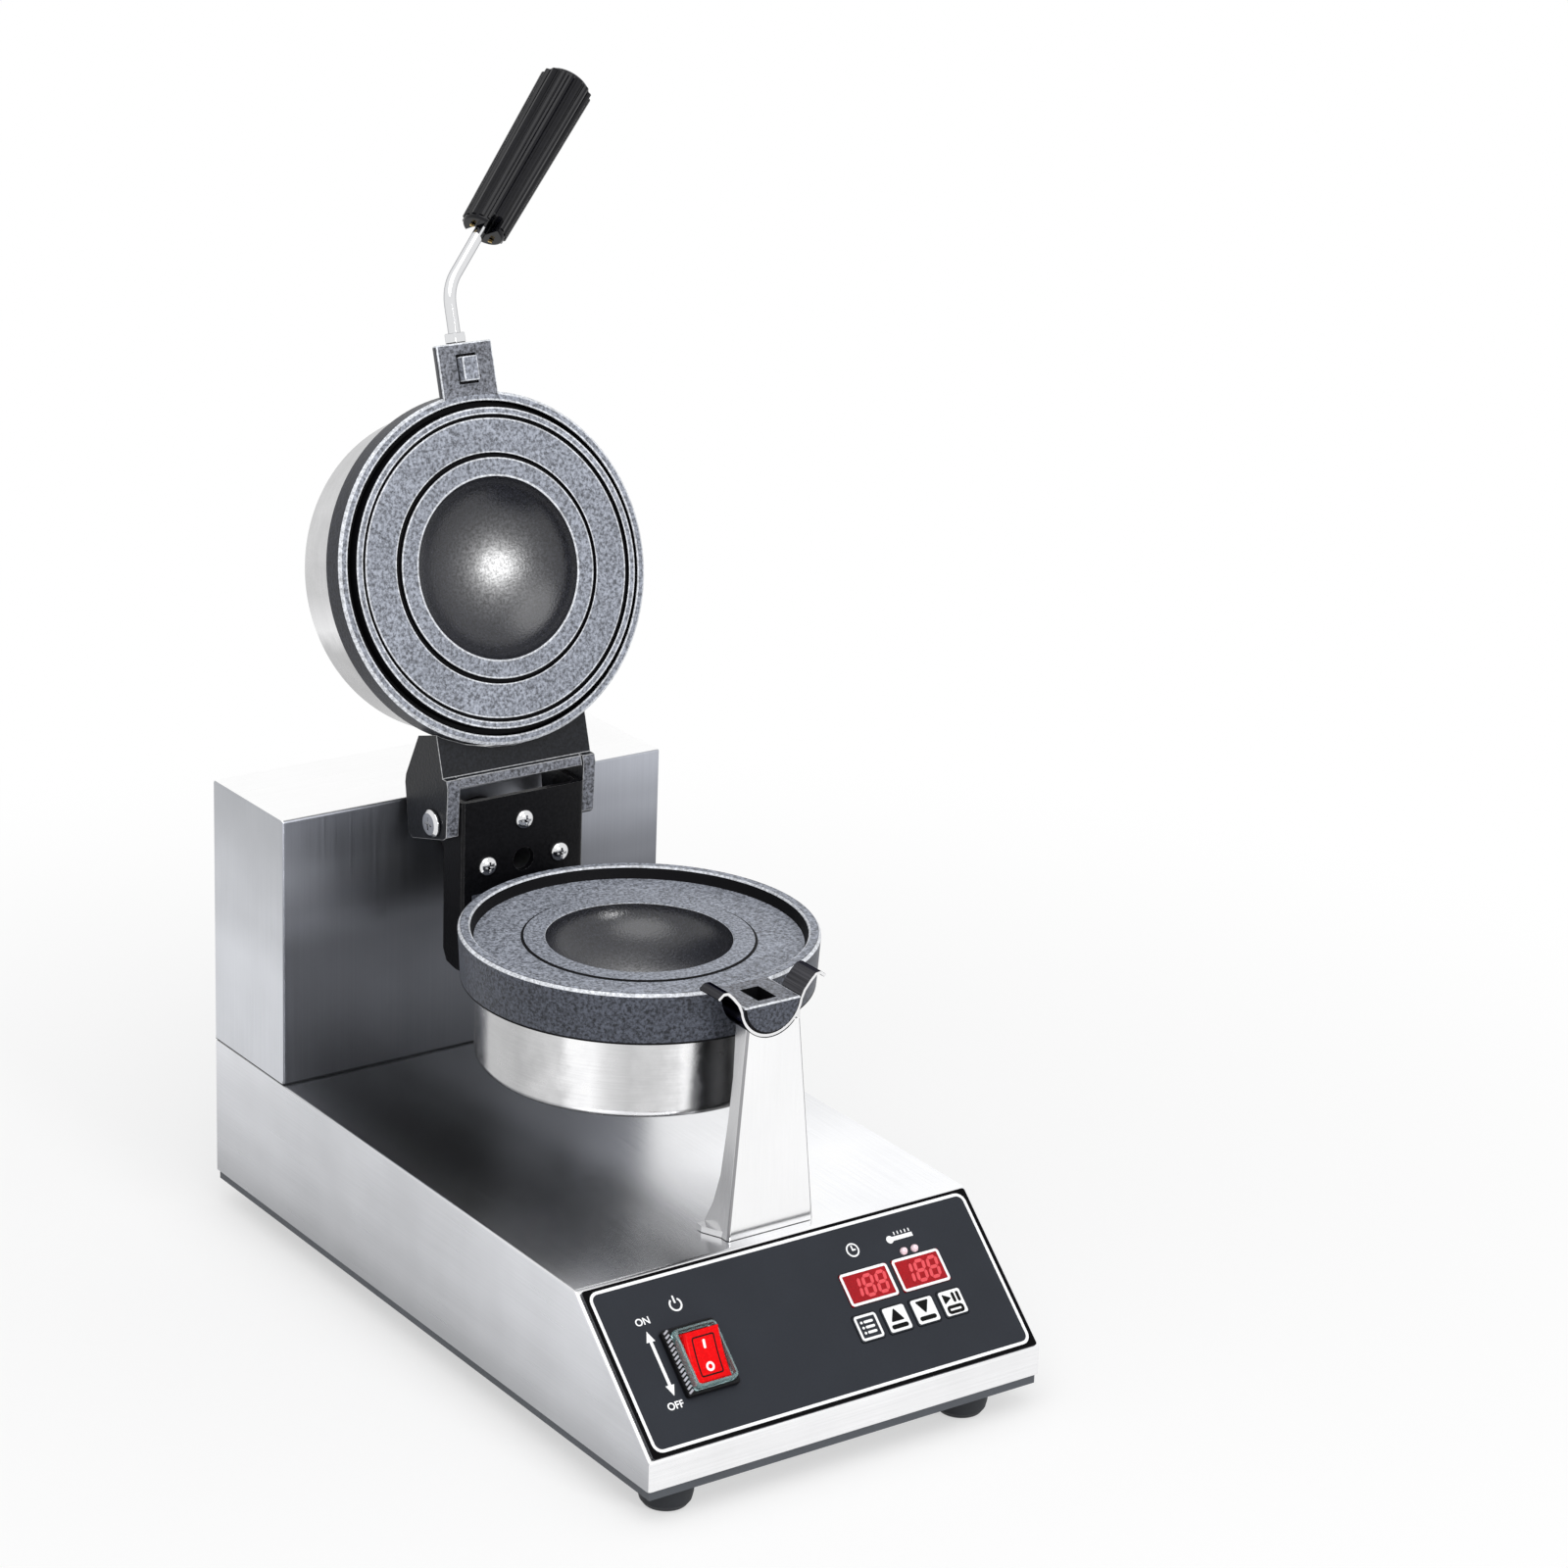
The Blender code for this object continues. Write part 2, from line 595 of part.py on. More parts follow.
def build_lower_plate(head):
    """The lower plate with its lug in front and its web behind, and the cup, heater and probe under it."""
    rim, floor, under = -GAP, -0.0063, -0.0130
    outside = [(BAND_FOOT_RADIUS, -LOWER_BAND), (PLATE_RADIUS, -0.0015), (PLATE_RADIUS - 0.0012, rim)]
    inside = [(0.0800, rim), (0.0785, floor), (RING_RADIUS + 0.001, floor), (RING_RADIUS, floor + 0.0006)]
    inside += bowl_curve(BOWL_RADIUS, -0.0245, floor + 0.0006)
    back = bowl_curve(BOWL_RADIUS + 0.006, -0.0245, under)[::-1]
    skirt = [(0.0785, under), (0.0795, under - 0.001), (0.0795, -LOWER_BAND)]
    round_part = moved(turned(back + skirt + outside + inside), at(0, PLATE_Y, TURN_Z))
    plate = keep("lower_plate", round_part, COATED_IRON, head)
    near, far = PLATE_Y - LUG_REACH, PLATE_Y - PLATE_RADIUS + 0.004
    add(plate, prism(half_disc(LUG_RADIUS, True), near, far, "Y"), head)
    web_back = YOKE_FRONT - GAP
    web = box((-0.030, 0.030), (PLATE_Y + 0.082, web_back), (TURN_Z - 0.0230, TURN_Z - 0.0135))
    add(plate, web, head)
    room = plain_cylinder(0.0051, -0.0036, 0.004, 12)
    cut(plate, moved(room, at(0, YOKE_FRONT, TURN_Z - SCREW_CIRCLE), ALONG_Y), head)
    hole = box((-0.0052, 0.0052), (PLATE_Y - 0.1052, PLATE_Y - 0.0904), (TURN_Z - 0.0105, TURN_Z + 0.01))
    cut(plate, hole, head)

    bottom = -LOWER_CUP_DEPTH
    hole_radius = 0.0031
    cup = cup_profile(LOWER_CUP_RADIUS, hole_radius, bottom, under - GAP)
    keep("lower_cup", moved(turned(cup), at(0, PLATE_Y, TURN_Z)), POLISHED_STEEL, head)
    stud_top = under - 0.0245 - GAP
    stud = [(0, stud_top), (0.0028, stud_top), (0.0028, bottom - GAP), (0.0065, bottom - GAP)]
    stud += [(0.0060, bottom - 0.0025), (0.0035, bottom - 0.0042), (0, bottom - 0.0046)]
    keep("lower_cup_screw", moved(turned(stud, 10), at(0, PLATE_Y, TURN_Z)), PLAIN_STEEL, head)
    heater("lower_heater", head, under, -1)
    probe("lower_probe", head, under, -1)


def heater(name, carrier, face, outward):
    """A tubular heater: an open ring that lies on the plate's back, with both ends turned away."""
    ring, tube, leg = 0.0620, 0.0040, 0.020
    level = face + outward * (tube + GAP)
    points = []
    for x, y in arc((0, 0), ring, 105, 435, 22):
        points.append((x, y, level))
    for end in (0, -1):
        x, y, _ = points[end]
        drop = [(x, y, level + outward * leg * t) for t in (0.35, 1.0)]
        points = drop[::-1] + points if end == 0 else points + drop
    curve = bpy.data.curves.new(name, "CURVE")
    curve.dimensions = "3D"
    curve.bevel_depth = tube
    curve.bevel_resolution = 0
    curve.use_fill_caps = True
    spline = curve.splines.new("POLY")
    spline.points.add(len(points) - 1)
    start = Vector(carrier["start"])
    for point, (x, y, z) in zip(spline.points, points):
        point.co = (*(Vector((x, y + PLATE_Y, z + TURN_Z)) - start), 1.0)
    obj = bpy.data.objects.new(name, curve)
    bpy.context.scene.collection.objects.link(obj)
    obj.parent = carrier
    curve.materials.append(material(name, PLAIN_STEEL))


def probe(name, carrier, face, outward):
    """A temperature probe that stands on the plate's back, between the heater's ends."""
    near, far = face + outward * GAP, face + outward * 0.022
    profile = [(0, near), (0.0055, near), (0.0055, near + outward * 0.003)]
    profile += [(0.0028, near + outward * 0.004), (0.0028, far), (0, far)]
    keep(name, moved(turned(profile, 10), at(0, PLATE_Y + 0.0620, TURN_Z)), BRASS, carrier)


def build_yoke(head):
    """The yoke that holds the plates, the hollow shaft behind it, and what locks the shaft in place."""
    back = HINGE_Y + 0.0021
    outline = [
        (YOKE_FRONT, YOKE_BOTTOM),
        (HINGE_Y - 0.0090, YOKE_BOTTOM),
        (HINGE_Y - 0.0012, YOKE_BOTTOM + 0.0015),
        (back, YOKE_BOTTOM + 0.0073),
        (back, HINGE_Z - 0.0150),
        (HINGE_Y + 0.0100, HINGE_Z - 0.0070),
        (HINGE_Y + 0.0100, HINGE_Z + 0.0070),
        (HINGE_Y + 0.0040, HINGE_Z + 0.0130),
        (YOKE_FRONT, HINGE_Z + 0.0130),
    ]
    outer = HINGE_HALF - GAP
    inner = outer - YOKE_SHEET
    solid = prism(outline, -outer, outer)
    bends = []
    for edge in solid.edges:
        a, b = edge.verts[0].co, edge.verts[1].co
        if max(abs(a.y - YOKE_FRONT), abs(b.y - YOKE_FRONT), abs(a.x - b.x)) < 1e-6:
            bends.append(edge)
    bmesh.ops.bevel(solid, geom=bends, offset=YOKE_BEND, segments=3, profile=0.5, affect="EDGES")
    yoke = keep("yoke_bracket", solid, BLACK_CASTING, head)
    depth, height = (YOKE_FRONT + YOKE_SHEET, HINGE_Y + 0.03), (YOKE_BOTTOM - 0.01, HINGE_Z + 0.03)
    cut(yoke, box((-inner, inner), depth, height), head)
    for side in (-1, 1):
        hole = plain_cylinder(0.0044, -0.004, 0.004, 12)
        cut(yoke, moved(hole, at(side * (outer - YOKE_SHEET / 2), HINGE_Y, HINGE_Z), ALONG_X), head)

    flange_front = YOKE_FRONT + YOKE_SHEET + GAP
    flange_back = flange_front + 0.006
    shaft_end = BACK_Y - 0.016
    profile = [
        (SHAFT_BORE, flange_front),
        (0.0275, flange_front),
        (0.0275, flange_back),
        (SHAFT_RADIUS + 0.0015, flange_back),
        (SHAFT_RADIUS, flange_back + 0.0015),
        (SHAFT_RADIUS, shaft_end - 0.001),
        (SHAFT_RADIUS - 0.001, shaft_end),
        (SHAFT_BORE, shaft_end),
    ]
    sides = 28
    half_step = Matrix.Rotation(pi / sides, 4, "Z")
    tube = moved(turned(profile, sides), at(0, 0, TURN_Z), ALONG_Y, half_step)
    shaft = keep("head_shaft", tube, PLAIN_STEEL, head)
    wire_hole = plain_cylinder(SHAFT_BORE, -0.002, 0.006)
    cut(yoke, moved(wire_hole, at(0, YOKE_FRONT, TURN_Z), ALONG_Y), head)

    screw = [(0, -0.0032), (0.0032, -0.0028), (0.0045, -0.0012), (0.0045, -GAP), (0.0025, -GAP)]
    screw += [(0.0025, 0.0085), (0, 0.0085)]
    for name, angle in (("right", 0), ("top", 90), ("left", 180), ("bottom", 270)):
        a = radians(angle)
        spot = at(SCREW_CIRCLE * cos(a), YOKE_FRONT, TURN_Z + SCREW_CIRCLE * sin(a))
        for piece in (yoke, shaft):
            cut(piece, moved(plain_cylinder(0.0028, -0.004, 0.014, 8), spot, ALONG_Y), head)
        keep(f"yoke_screw_{name}", moved(turned(screw, 12), spot, ALONG_Y), CHROME, head)

    collar_front = BEARING_BACK + 0.0010
    ring = [(SHAFT_RADIUS + GAP, collar_front), (0.0170, collar_front)]
    ring += [(0.0170, collar_front + 0.010), (SHAFT_RADIUS + GAP, collar_front + 0.010)]
    collar = keep("shaft_collar", moved(turned(ring, 20), at(0, 0, TURN_Z), ALONG_Y), PLAIN_STEEL, head)
    middle = collar_front + 0.005
    cut(collar, moved(plain_cylinder(0.0024, -0.030, 0, 8), at(0, middle, TURN_Z)), head)
    pin = plain_cylinder(0.0021, -0.0225, -SHAFT_RADIUS - 2 * GAP, 8)
    keep("stop_pin", moved(pin, at(0, middle, TURN_Z)), PLAIN_STEEL, head)


def build_upper_plate(lid):
    """The lid's plate with its tab and tongue, and the cup, heater and probe on its back."""
    rim, disc, ring = GAP, -0.0018, -0.0030
    groove, back_face = 0.0045, 0.0100
    outside = [(PLATE_RADIUS - 0.0012, rim), (PLATE_RADIUS, 0.0015), (UPPER_BAND_RADIUS, UPPER_BAND)]
    behind = [(0.0805, UPPER_BAND), (0.0805, back_face), (BOWL_RADIUS + 0.006, back_face)]
    behind += bowl_curve(BOWL_RADIUS + 0.006, 0.0165, back_face)[1:]
    face = bowl_curve(BOWL_RADIUS, 0.0240, ring)[::-1]
    face += [(RING_RADIUS - 0.0010, ring), (RING_RADIUS, disc), (DISC_RADIUS, disc)]
    face += [(DISC_RADIUS + 0.0008, -0.0006), (0.0744, -0.0006), (0.0751, -0.0024), (0.0784, -0.0026)]
    face += [(0.0790, groove), (0.0808, groove), (0.0816, rim)]
    round_part = moved(turned(face + outside + behind), at(0, PLATE_Y, TURN_Z))
    plate = keep("upper_plate", round_part, COATED_IRON, lid)
    near, far = PLATE_Y - LUG_REACH, PLATE_Y - PLATE_RADIUS + 0.004
    add(plate, prism(half_disc(LUG_RADIUS, False), near, far, "Y"), lid)
    tongue = box((-0.0042, 0.0042), (PLATE_Y - 0.1034, PLATE_Y - 0.0914), (TURN_Z - 0.0036, TURN_Z + 0.005))
    add(plate, tongue, lid)
    cut(plate, moved(plain_cylinder(0.0034, -0.005, 0.0145, 12), at(0, near, ROD_Z), ALONG_Y), lid)

    top = UPPER_CUP_DEPTH
    hole_radius = 0.0031
    cup = cup_profile(UPPER_CUP_RADIUS, hole_radius, top, back_face + GAP)
    keep("upper_cup", moved(turned(cup), at(0, PLATE_Y, TURN_Z)), POLISHED_STEEL, lid)
    stud_low = back_face + 0.0165 + GAP
    stud = [(0, stud_low), (0.0028, stud_low), (0.0028, top + GAP), (0.0065, top + GAP)]
    stud += [(0.0060, top + 0.0025), (0.0035, top + 0.0042), (0, top + 0.0046)]
    keep("upper_cup_screw", moved(turned(stud, 10), at(0, PLATE_Y, TURN_Z)), PLAIN_STEEL, lid)
    heater("upper_heater", lid, back_face, 1)
    probe("upper_probe", lid, back_face, 1)


ROD_Z = TURN_Z + 0.0078


def hinge_point(dy, dz):
    """A point of the lid's hinge casting, from the hinge axis, with the lid closed."""
    return (HINGE_Y + dy, HINGE_Z + dz)


def build_lid_hinge(lid):
    """The hinge casting: two cheeks and the web between them, with the bolts on which they swing."""
    cheek = [(-0.0560, -0.0150), (-0.0217, -0.0150), (-0.0205, -0.0185), (-0.0165, -0.0185)]
    cheek += [(0.0075, -0.0100), (0.0085, -0.0070), (0.0075, 0.0235), (0.0045, 0.0262)]
    cheek += [(-0.0205, 0.0225), (-0.0245, 0.0205), (-0.0465, -0.0005), (-0.0560, -0.0005)]
    cheek = [hinge_point(*p) for p in cheek]
    outer = HINGE_HALF + CHEEK
    arm = keep("hinge_casting", prism(cheek, HINGE_HALF, outer), COATED_IRON, lid)
    add(arm, prism(cheek, -outer, -HINGE_HALF), lid)
    web = [(-0.0560, -0.0150), (-0.0217, -0.0150), (-0.0205, -0.0166), (-0.0158, -0.0166)]
    web += [(-0.0215, -0.0045), (-0.0560, -0.0045)]
    reach = HINGE_HALF + 0.002
    add(arm, prism([hinge_point(*p) for p in web], -reach, reach), lid)
    band = plain_cylinder(UPPER_BAND_RADIUS + 2 * GAP, -0.03, 0.06, 40)
    cut(arm, moved(band, at(0, PLATE_Y, TURN_Z)), lid)
    head_radius = 0.0070
    for side, name in ((-1, "left"), (1, "right")):
        spot = at(side * (HINGE_HALF + CHEEK / 2), HINGE_Y, HINGE_Z)
        cut(arm, moved(plain_cylinder(0.0044, -0.006, 0.006, 12), spot, ALONG_X), lid)
        low, high = HINGE_HALF - YOKE_SHEET - 0.0035, outer + GAP
        bolt = [(0, low), (0.0040, low), (0.0040, high), (head_radius, high), (head_radius, high + 0.0014)]
        bolt += [(head_radius - 0.0015, high + 0.0030), (0, high + 0.0034)]
        turn = ALONG_X if side > 0 else Matrix.Rotation(-pi / 2, 4, "Y")
        keep(f"hinge_bolt_{name}", moved(turned(bolt, 14), at(0, HINGE_Y, HINGE_Z), turn), CHROME, lid)


ROD_RADIUS = 0.0030
ROD_BEND = 0.0275
ROD_AFTER_BEND = 0.0360
GRIP_LENGTH = 0.096
GRIP_WAY = Vector((0.695, -0.712, 0.103)).normalized()
GRIP_OFFSET = Vector((0.0006, 0.0006, -0.0005))


def rod_route():
    """Middle line of the handle's rod, with a smooth bend."""
    start = Vector((0, PLATE_Y - LUG_REACH + 0.0120, ROD_Z))
    corner = Vector((0, PLATE_Y - LUG_REACH - ROD_BEND, ROD_Z))
    end = corner + GRIP_WAY * (ROD_AFTER_BEND + 0.070)
    ease = 0.009
    before, after = corner + Vector((0, ease, 0)), corner + GRIP_WAY * ease
    points = [start, (start + before) / 2]
    for i in range(7):
        t = i / 6
        points.append(before * (1 - t) ** 2 + corner * 2 * t * (1 - t) + after * t * t)
    return points + [corner + GRIP_WAY * ROD_AFTER_BEND, end]


def build_handle(lid):
    """The bent rod, its lock nut, the ribbed grip and the grip's two screws."""
    start = Vector(lid["start"])
    curve = bpy.data.curves.new("handle_rod", "CURVE")
    curve.dimensions = "3D"
    curve.bevel_depth = ROD_RADIUS
    curve.bevel_resolution = 1
    curve.use_fill_caps = True
    route = rod_route()
    spline = curve.splines.new("POLY")
    spline.points.add(len(route) - 1)
    for point, place in zip(spline.points, route):
        point.co = (*(place - start), 1.0)
    rod = bpy.data.objects.new("handle_rod", curve)
    bpy.context.scene.collection.objects.link(rod)
    rod.parent = lid
    curve.materials.append(material("handle_rod", CHROME))

    nut_end = -0.0052
    nut = [(ROD_RADIUS + GAP, nut_end), (0.0056, nut_end), (0.0056, -GAP), (ROD_RADIUS + GAP, -GAP)]
    keep("lock_nut", moved(turned(nut, 6 * 2), at(0, PLATE_Y - LUG_REACH, ROD_Z), ALONG_Y), CHROME, lid)

    base = Vector((0, PLATE_Y - LUG_REACH - ROD_BEND, ROD_Z)) + GRIP_WAY * ROD_AFTER_BEND
    turn = GRIP_WAY.to_track_quat("Z", "X").to_matrix().to_4x4()
    rod_frame = Matrix.Translation(base) @ turn
    frame = Matrix.Translation(base + GRIP_OFFSET) @ turn
    ribs, low_radius, high_radius, depth = 18, 0.0113, 0.0133, 0.0007
    rings = []
    for height, scale in [(0, 0.95), (0.0012, 1.0), (GRIP_LENGTH - 0.0015, 1.0), (GRIP_LENGTH, 0.94)]:
        radius = (low_radius + (high_radius - low_radius) * height / GRIP_LENGTH) * scale
        ring = []
        for i, a in enumerate(turn_round(2 * ribs)):
            r = radius - (depth if i % 2 else 0)
            ring.append((r * cos(a), r * sin(a), height))
        rings.append(ring)
    grip = keep("handle_grip", moved(lofted(rings), frame), BLACK_PLASTIC, lid)
    cut(grip, moved(plain_cylinder(ROD_RADIUS + GAP, -0.01, 0.0725, 12), rod_frame), lid)
    slot = box((-0.02, 0.02), (-ROD_RADIUS - 0.0005, ROD_RADIUS + 0.0005), (-0.01, 0.006))
    cut(grip, moved(slot, rod_frame), lid)
    screw = [(0, -0.0012), (0.0014, -0.0010), (0.0018, -GAP), (0.0010, -GAP), (0.0010, 0.010), (0, 0.010)]
    for side, name in ((-1, "a"), (1, "b")):
        spot = frame @ at(0, side * 0.0062, 0)
        cut(grip, moved(plain_cylinder(0.0013, -0.003, 0.0105, 6), spot), lid)
        keep(f"grip_screw_{name}", moved(turned(screw, 6), spot), BRASS, lid)


def key_place(number):
    return (KEY_FIRST[0] + KEY_PITCH * number, KEY_FIRST[1])


def build_panel():
    """The panel film on the slope, with the displays, lamps and board behind it."""
    outline = shifted(rounded(0.2155, 0.0831, 0.0012, 2), 0, 0.04065)
    holes = [shifted(rounded(0.0226, 0.0286, 0.001, 1), *SWITCH_AT)]
    wide, high = DISPLAY_SIZE
    for spot in DISPLAYS.values():
        holes.append(shifted(rounded(wide + 2 * GAP, high + 2 * GAP, 0.0006, 1), *spot))
    for spot in LAMPS.values():
        holes.append(shifted(arc((0, 0), 0.0019 + GAP, 0, 330, 11), *spot))
    for number in range(4):
        side = KEY_SIZE + 2 * GAP
        holes.append(shifted(rounded(side, side, 0.001, 1), *key_place(number)))
    panel = sheet_with_holes(outline, holes, GAP, PANEL_TOP)
    keep("control_panel", moved(panel, slope_frame()), PANEL_FILM)

    board = shifted(rounded(0.0680, 0.0460, 0.001, 1), 0.0500, 0.0425)
    board = prism(board, -BOARD_DEPTH - 0.0016, -BOARD_DEPTH, "Z")
    keep("display_board", moved(board, slope_frame()), GREEN_BOARD)
    for name, spot in DISPLAYS.items():
        module = shifted(rounded(wide, high, 0.0006, 1), *spot)
        module = prism(module, GAP - BOARD_DEPTH, PANEL_TOP + 0.0005, "Z")
        keep(name, moved(module, slope_frame()), RED_PLASTIC)
    for name, spot in LAMPS.items():
        lamp = [(0, GAP - BOARD_DEPTH), (0.0019, GAP - BOARD_DEPTH), (0.0019, PANEL_TOP + 0.0006)]
        lamp += [(0.0013, PANEL_TOP + 0.0017), (0, PANEL_TOP + 0.0021)]
        keep(name, moved(turned(lamp, 12), slope_frame(), at(*spot, 0)), LAMP_LENS)


def build_keys():
    """Four keys that travel into the panel; each has a rim under the film that holds it in."""
    for number in range(4):
        x, s = key_place(number)
        centre = slope_frame() @ Vector((x, s, 0))
        place = axis_empty(f"key_axis_{number + 1}", centre, Matrix.Rotation(SLOPE_ANGLE, 4, "X"))
        rim, cap, stem = KEY_SIZE + 0.0014, KEY_SIZE, 0.0040
        sizes = [(stem, KEY_TRAVEL + GAP - BOARD_DEPTH), (stem, -0.0022), (rim, -0.0022), (rim, -GAP / 2)]
        sizes += [(cap, -GAP / 2), (cap, PANEL_TOP + 0.0004), (cap - 0.0008, PANEL_TOP + 0.0007)]
        rings = []
        for size, level in sizes:
            radius = min(0.001, size / 5)
            rings.append([(px, py, level) for px, py in rounded(size, size, radius, 1)])
        keep(f"key_{number + 1}", lofted(rings), PANEL_FILM, place, local=True)


ROCKER_HALF = 0.0120
ROCKER_TILT = radians(16)
ROCKER_LEVEL = 0.0045


def stepped(levels):
    """A solid of round-cornered rectangles (width, height, level), one above the other."""
    return lofted([[(x, y, level) for x, y in rounded(w, h, 0.0015, 2)] for w, h, level in levels])


def build_switch():
    """The rocker switch: its body and flange, the clear guard on top of it, and the red rocker."""
    frame = slope_frame() @ at(*SWITCH_AT, 0)
    flange = PANEL_TOP + GAP
    sizes = [(0.0206, 0.0270, -0.0220), (0.0220, 0.0280, -0.0160), (0.0220, 0.0280, flange)]
    sizes += [(0.0245, 0.0310, flange), (0.0245, 0.0310, flange + 0.0014)]
    body = keep("switch_housing", moved(stepped(sizes), frame), BLACK_PLASTIC)
    well = prism(rounded(0.0200, 0.0262, 0.0008, 1), -0.0070, 0.0200, "Z")
    cut(body, moved(well, frame))

    sizes = [(0.0290, 0.0335, flange), (0.0290, 0.0335, 0.0040), (0.0282, 0.0327, 0.0045)]
    sizes += [(0.0232, 0.0292, 0.0046), (0.0226, 0.0286, 0.0078), (0.0218, 0.0278, 0.0084)]
    guard = keep("switch_guard", moved(stepped(sizes), frame), CLEAR_PLASTIC)
    under = prism(rounded(0.0245 + 2 * GAP, 0.0310 + 2 * GAP, 0.0015, 2), -0.01, flange + 0.0014 + GAP, "Z")
    cut(guard, moved(under, frame))
    cut(guard, moved(prism(rounded(0.0202, 0.0264, 0.0010, 2), -0.01, 0.02, "Z"), frame))

    centre = frame @ Vector((0, 0, ROCKER_LEVEL))
    turn = Matrix.Rotation(SLOPE_ANGLE + ROCKER_TILT, 4, "X")
    axis = axis_empty("rocker_axis", centre, turn)
    half, peak = ROCKER_HALF, 0.0045
    side = [(-half, -0.0015), (-0.0060, -0.0045), (0.0060, -0.0045), (half, -0.0015)]
    side += [(half, peak), (0.0060, peak - 0.0008), (0, peak - 0.0012), (-0.0060, peak - 0.0008)]
    side += [(-half, peak)]
    keep("rocker", prism(side, -0.0096, 0.0096), RED_PLASTIC, axis, local=True)


def build_electrics():
    """The power board and the terminal block that stand on the tray."""
    floor = TRAY_BOTTOM + SHEET + GAP
    sheet = box((-0.080, 0.010), (-0.100, -0.030), (floor + 0.006, floor + 0.0076))
    board = keep("power_board", sheet, GREEN_BOARD)
    for x in (-0.074, 0.004):
        for y in (-0.094, -0.036):
            add(board, moved(plain_cylinder(0.003, floor, floor + 0.0068, 8), at(x, y, 0)))
    add(board, box((-0.070, -0.052), (-0.090, -0.074), (floor + 0.007, floor + 0.022)))
    add(board, box((-0.040, -0.012), (-0.088, -0.062), (floor + 0.007, floor + 0.026)))
    steps = [(0.020, floor), (0.044, floor), (0.044, floor + 0.010), (0.038, floor + 0.010)]
    steps += [(0.038, floor + 0.018), (0.026, floor + 0.018)]
    steps += [(0.026, floor + 0.010), (0.020, floor + 0.010)]
    block = prism([(y + 0.080, z) for y, z in steps], 0.035, 0.085)
    keep("terminal_block", block, PALE_PLASTIC)


def main():
    clear_scene()
    head = axis_empty("turn_axis", (0, PLATE_Y, TURN_Z))
    lid = axis_empty("lid_axis", (0, HINGE_Y, HINGE_Z), Matrix.Rotation(-LID_OPENING, 4, "X"), head)
    build_base()
    build_gland()
    build_tower()
    build_post()
    build_lower_plate(head)
    build_yoke(head)
    build_upper_plate(lid)
    build_lid_hinge(lid)
    build_handle(lid)
    build_panel()
    build_keys()
    build_switch()
    build_electrics()
    settle_all()


main()
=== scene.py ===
# %% [markdown]
# # A countertop press with two round plates
# Two round cast plates close and turn over together, so that both sides bake evenly. They sit
# between a steel tower, which holds the turning shaft, and a folded steel post with a cradle.
# The solids of the machine are already there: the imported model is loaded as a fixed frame, and
# this script dresses it. Each visible solid gets a finer mesh or a better finish, and moves with
# the same body as the solid that it stands for.

# %% Load the frame
from math import asin, atan2, cos, degrees, hypot, pi, radians, sin, tan

import bmesh
import bpy
from mathutils import Matrix, Vector


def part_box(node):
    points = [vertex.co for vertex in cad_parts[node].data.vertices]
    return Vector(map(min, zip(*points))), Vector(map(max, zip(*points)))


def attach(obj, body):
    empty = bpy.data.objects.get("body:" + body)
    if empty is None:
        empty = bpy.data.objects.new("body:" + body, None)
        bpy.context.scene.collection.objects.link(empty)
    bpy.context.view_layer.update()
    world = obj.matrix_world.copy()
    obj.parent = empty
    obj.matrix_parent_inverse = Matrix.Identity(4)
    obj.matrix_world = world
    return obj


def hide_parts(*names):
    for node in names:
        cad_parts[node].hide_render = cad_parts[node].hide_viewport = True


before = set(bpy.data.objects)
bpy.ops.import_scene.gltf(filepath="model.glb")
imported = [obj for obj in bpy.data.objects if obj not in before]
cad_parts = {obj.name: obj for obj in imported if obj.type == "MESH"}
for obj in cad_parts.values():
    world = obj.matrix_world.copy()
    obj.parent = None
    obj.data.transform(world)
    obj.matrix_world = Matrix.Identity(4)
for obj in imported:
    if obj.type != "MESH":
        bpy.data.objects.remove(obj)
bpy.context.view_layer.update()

# %% [markdown]
# ## The main sizes
# The pieces below have to sit exactly where their solids are. So the sizes that place them are
# written down once, in metres: X points to the user's right, -Y to the user, and Z up. The
# housing's own box is printed below them.

# %% Sizes
FRONT_Y, BACK_Y, HALF_WIDTH = -0.207, 0.193, 0.110
SHEET, BEND, GAP = 0.0012, 0.0016, 0.0003
HOUSING_BOTTOM, LIP_TOP, BASE_TOP = 0.018, 0.0322, 0.090
SLOPE_RUN, SLOPE_REACH = 0.063, 0.0836
SLOPE = atan2(BASE_TOP - LIP_TOP, SLOPE_RUN)
TOWER_FRONT, TOWER_TOP, SEAM = 0.123, 0.229, 0.0009
TURN_Z, PLATE_Y = 0.204, -0.0255
HINGE_Y, HINGE_Z, LID_OPENING = 0.093, 0.2255, radians(107)
POST_X, POST_FRONT, POST_LEAN, POST_FOOT = 0.0018, -0.1375, 0.003, 0.0903
POST_SCREWS = [(POST_X + side * 0.012, -0.128) for side in (-1, 1)]
LUG_RADIUS, LUG_FRONT, LUG_BACK = 0.0155, PLATE_Y - 0.110, PLATE_Y - 0.082
YOKE_FACE, SCREW_CIRCLE = 0.078, 0.0207
ROD_Z = TURN_Z + 0.0078
SWITCH_AT, GLAND_AT = (-0.0645, 0.0375), (0.060, BACK_Y, 0.045)
low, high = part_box("base_housing")
print("housing from", [round(v, 4) for v in low], "to", [round(v, 4) for v in high])

# %% [markdown]
# ## Small tools for meshes
# Machines of this kind are made of a few kinds of shape: folded sheet, turned rounds and castings.
# Each helper below returns a bmesh, so that shapes can be moved, joined and cut before they become
# an object. An object's own place stays at the origin, and its place is in its mesh.

# %% Moves
def at(x, y, z):
    return Matrix.Translation((x, y, z))


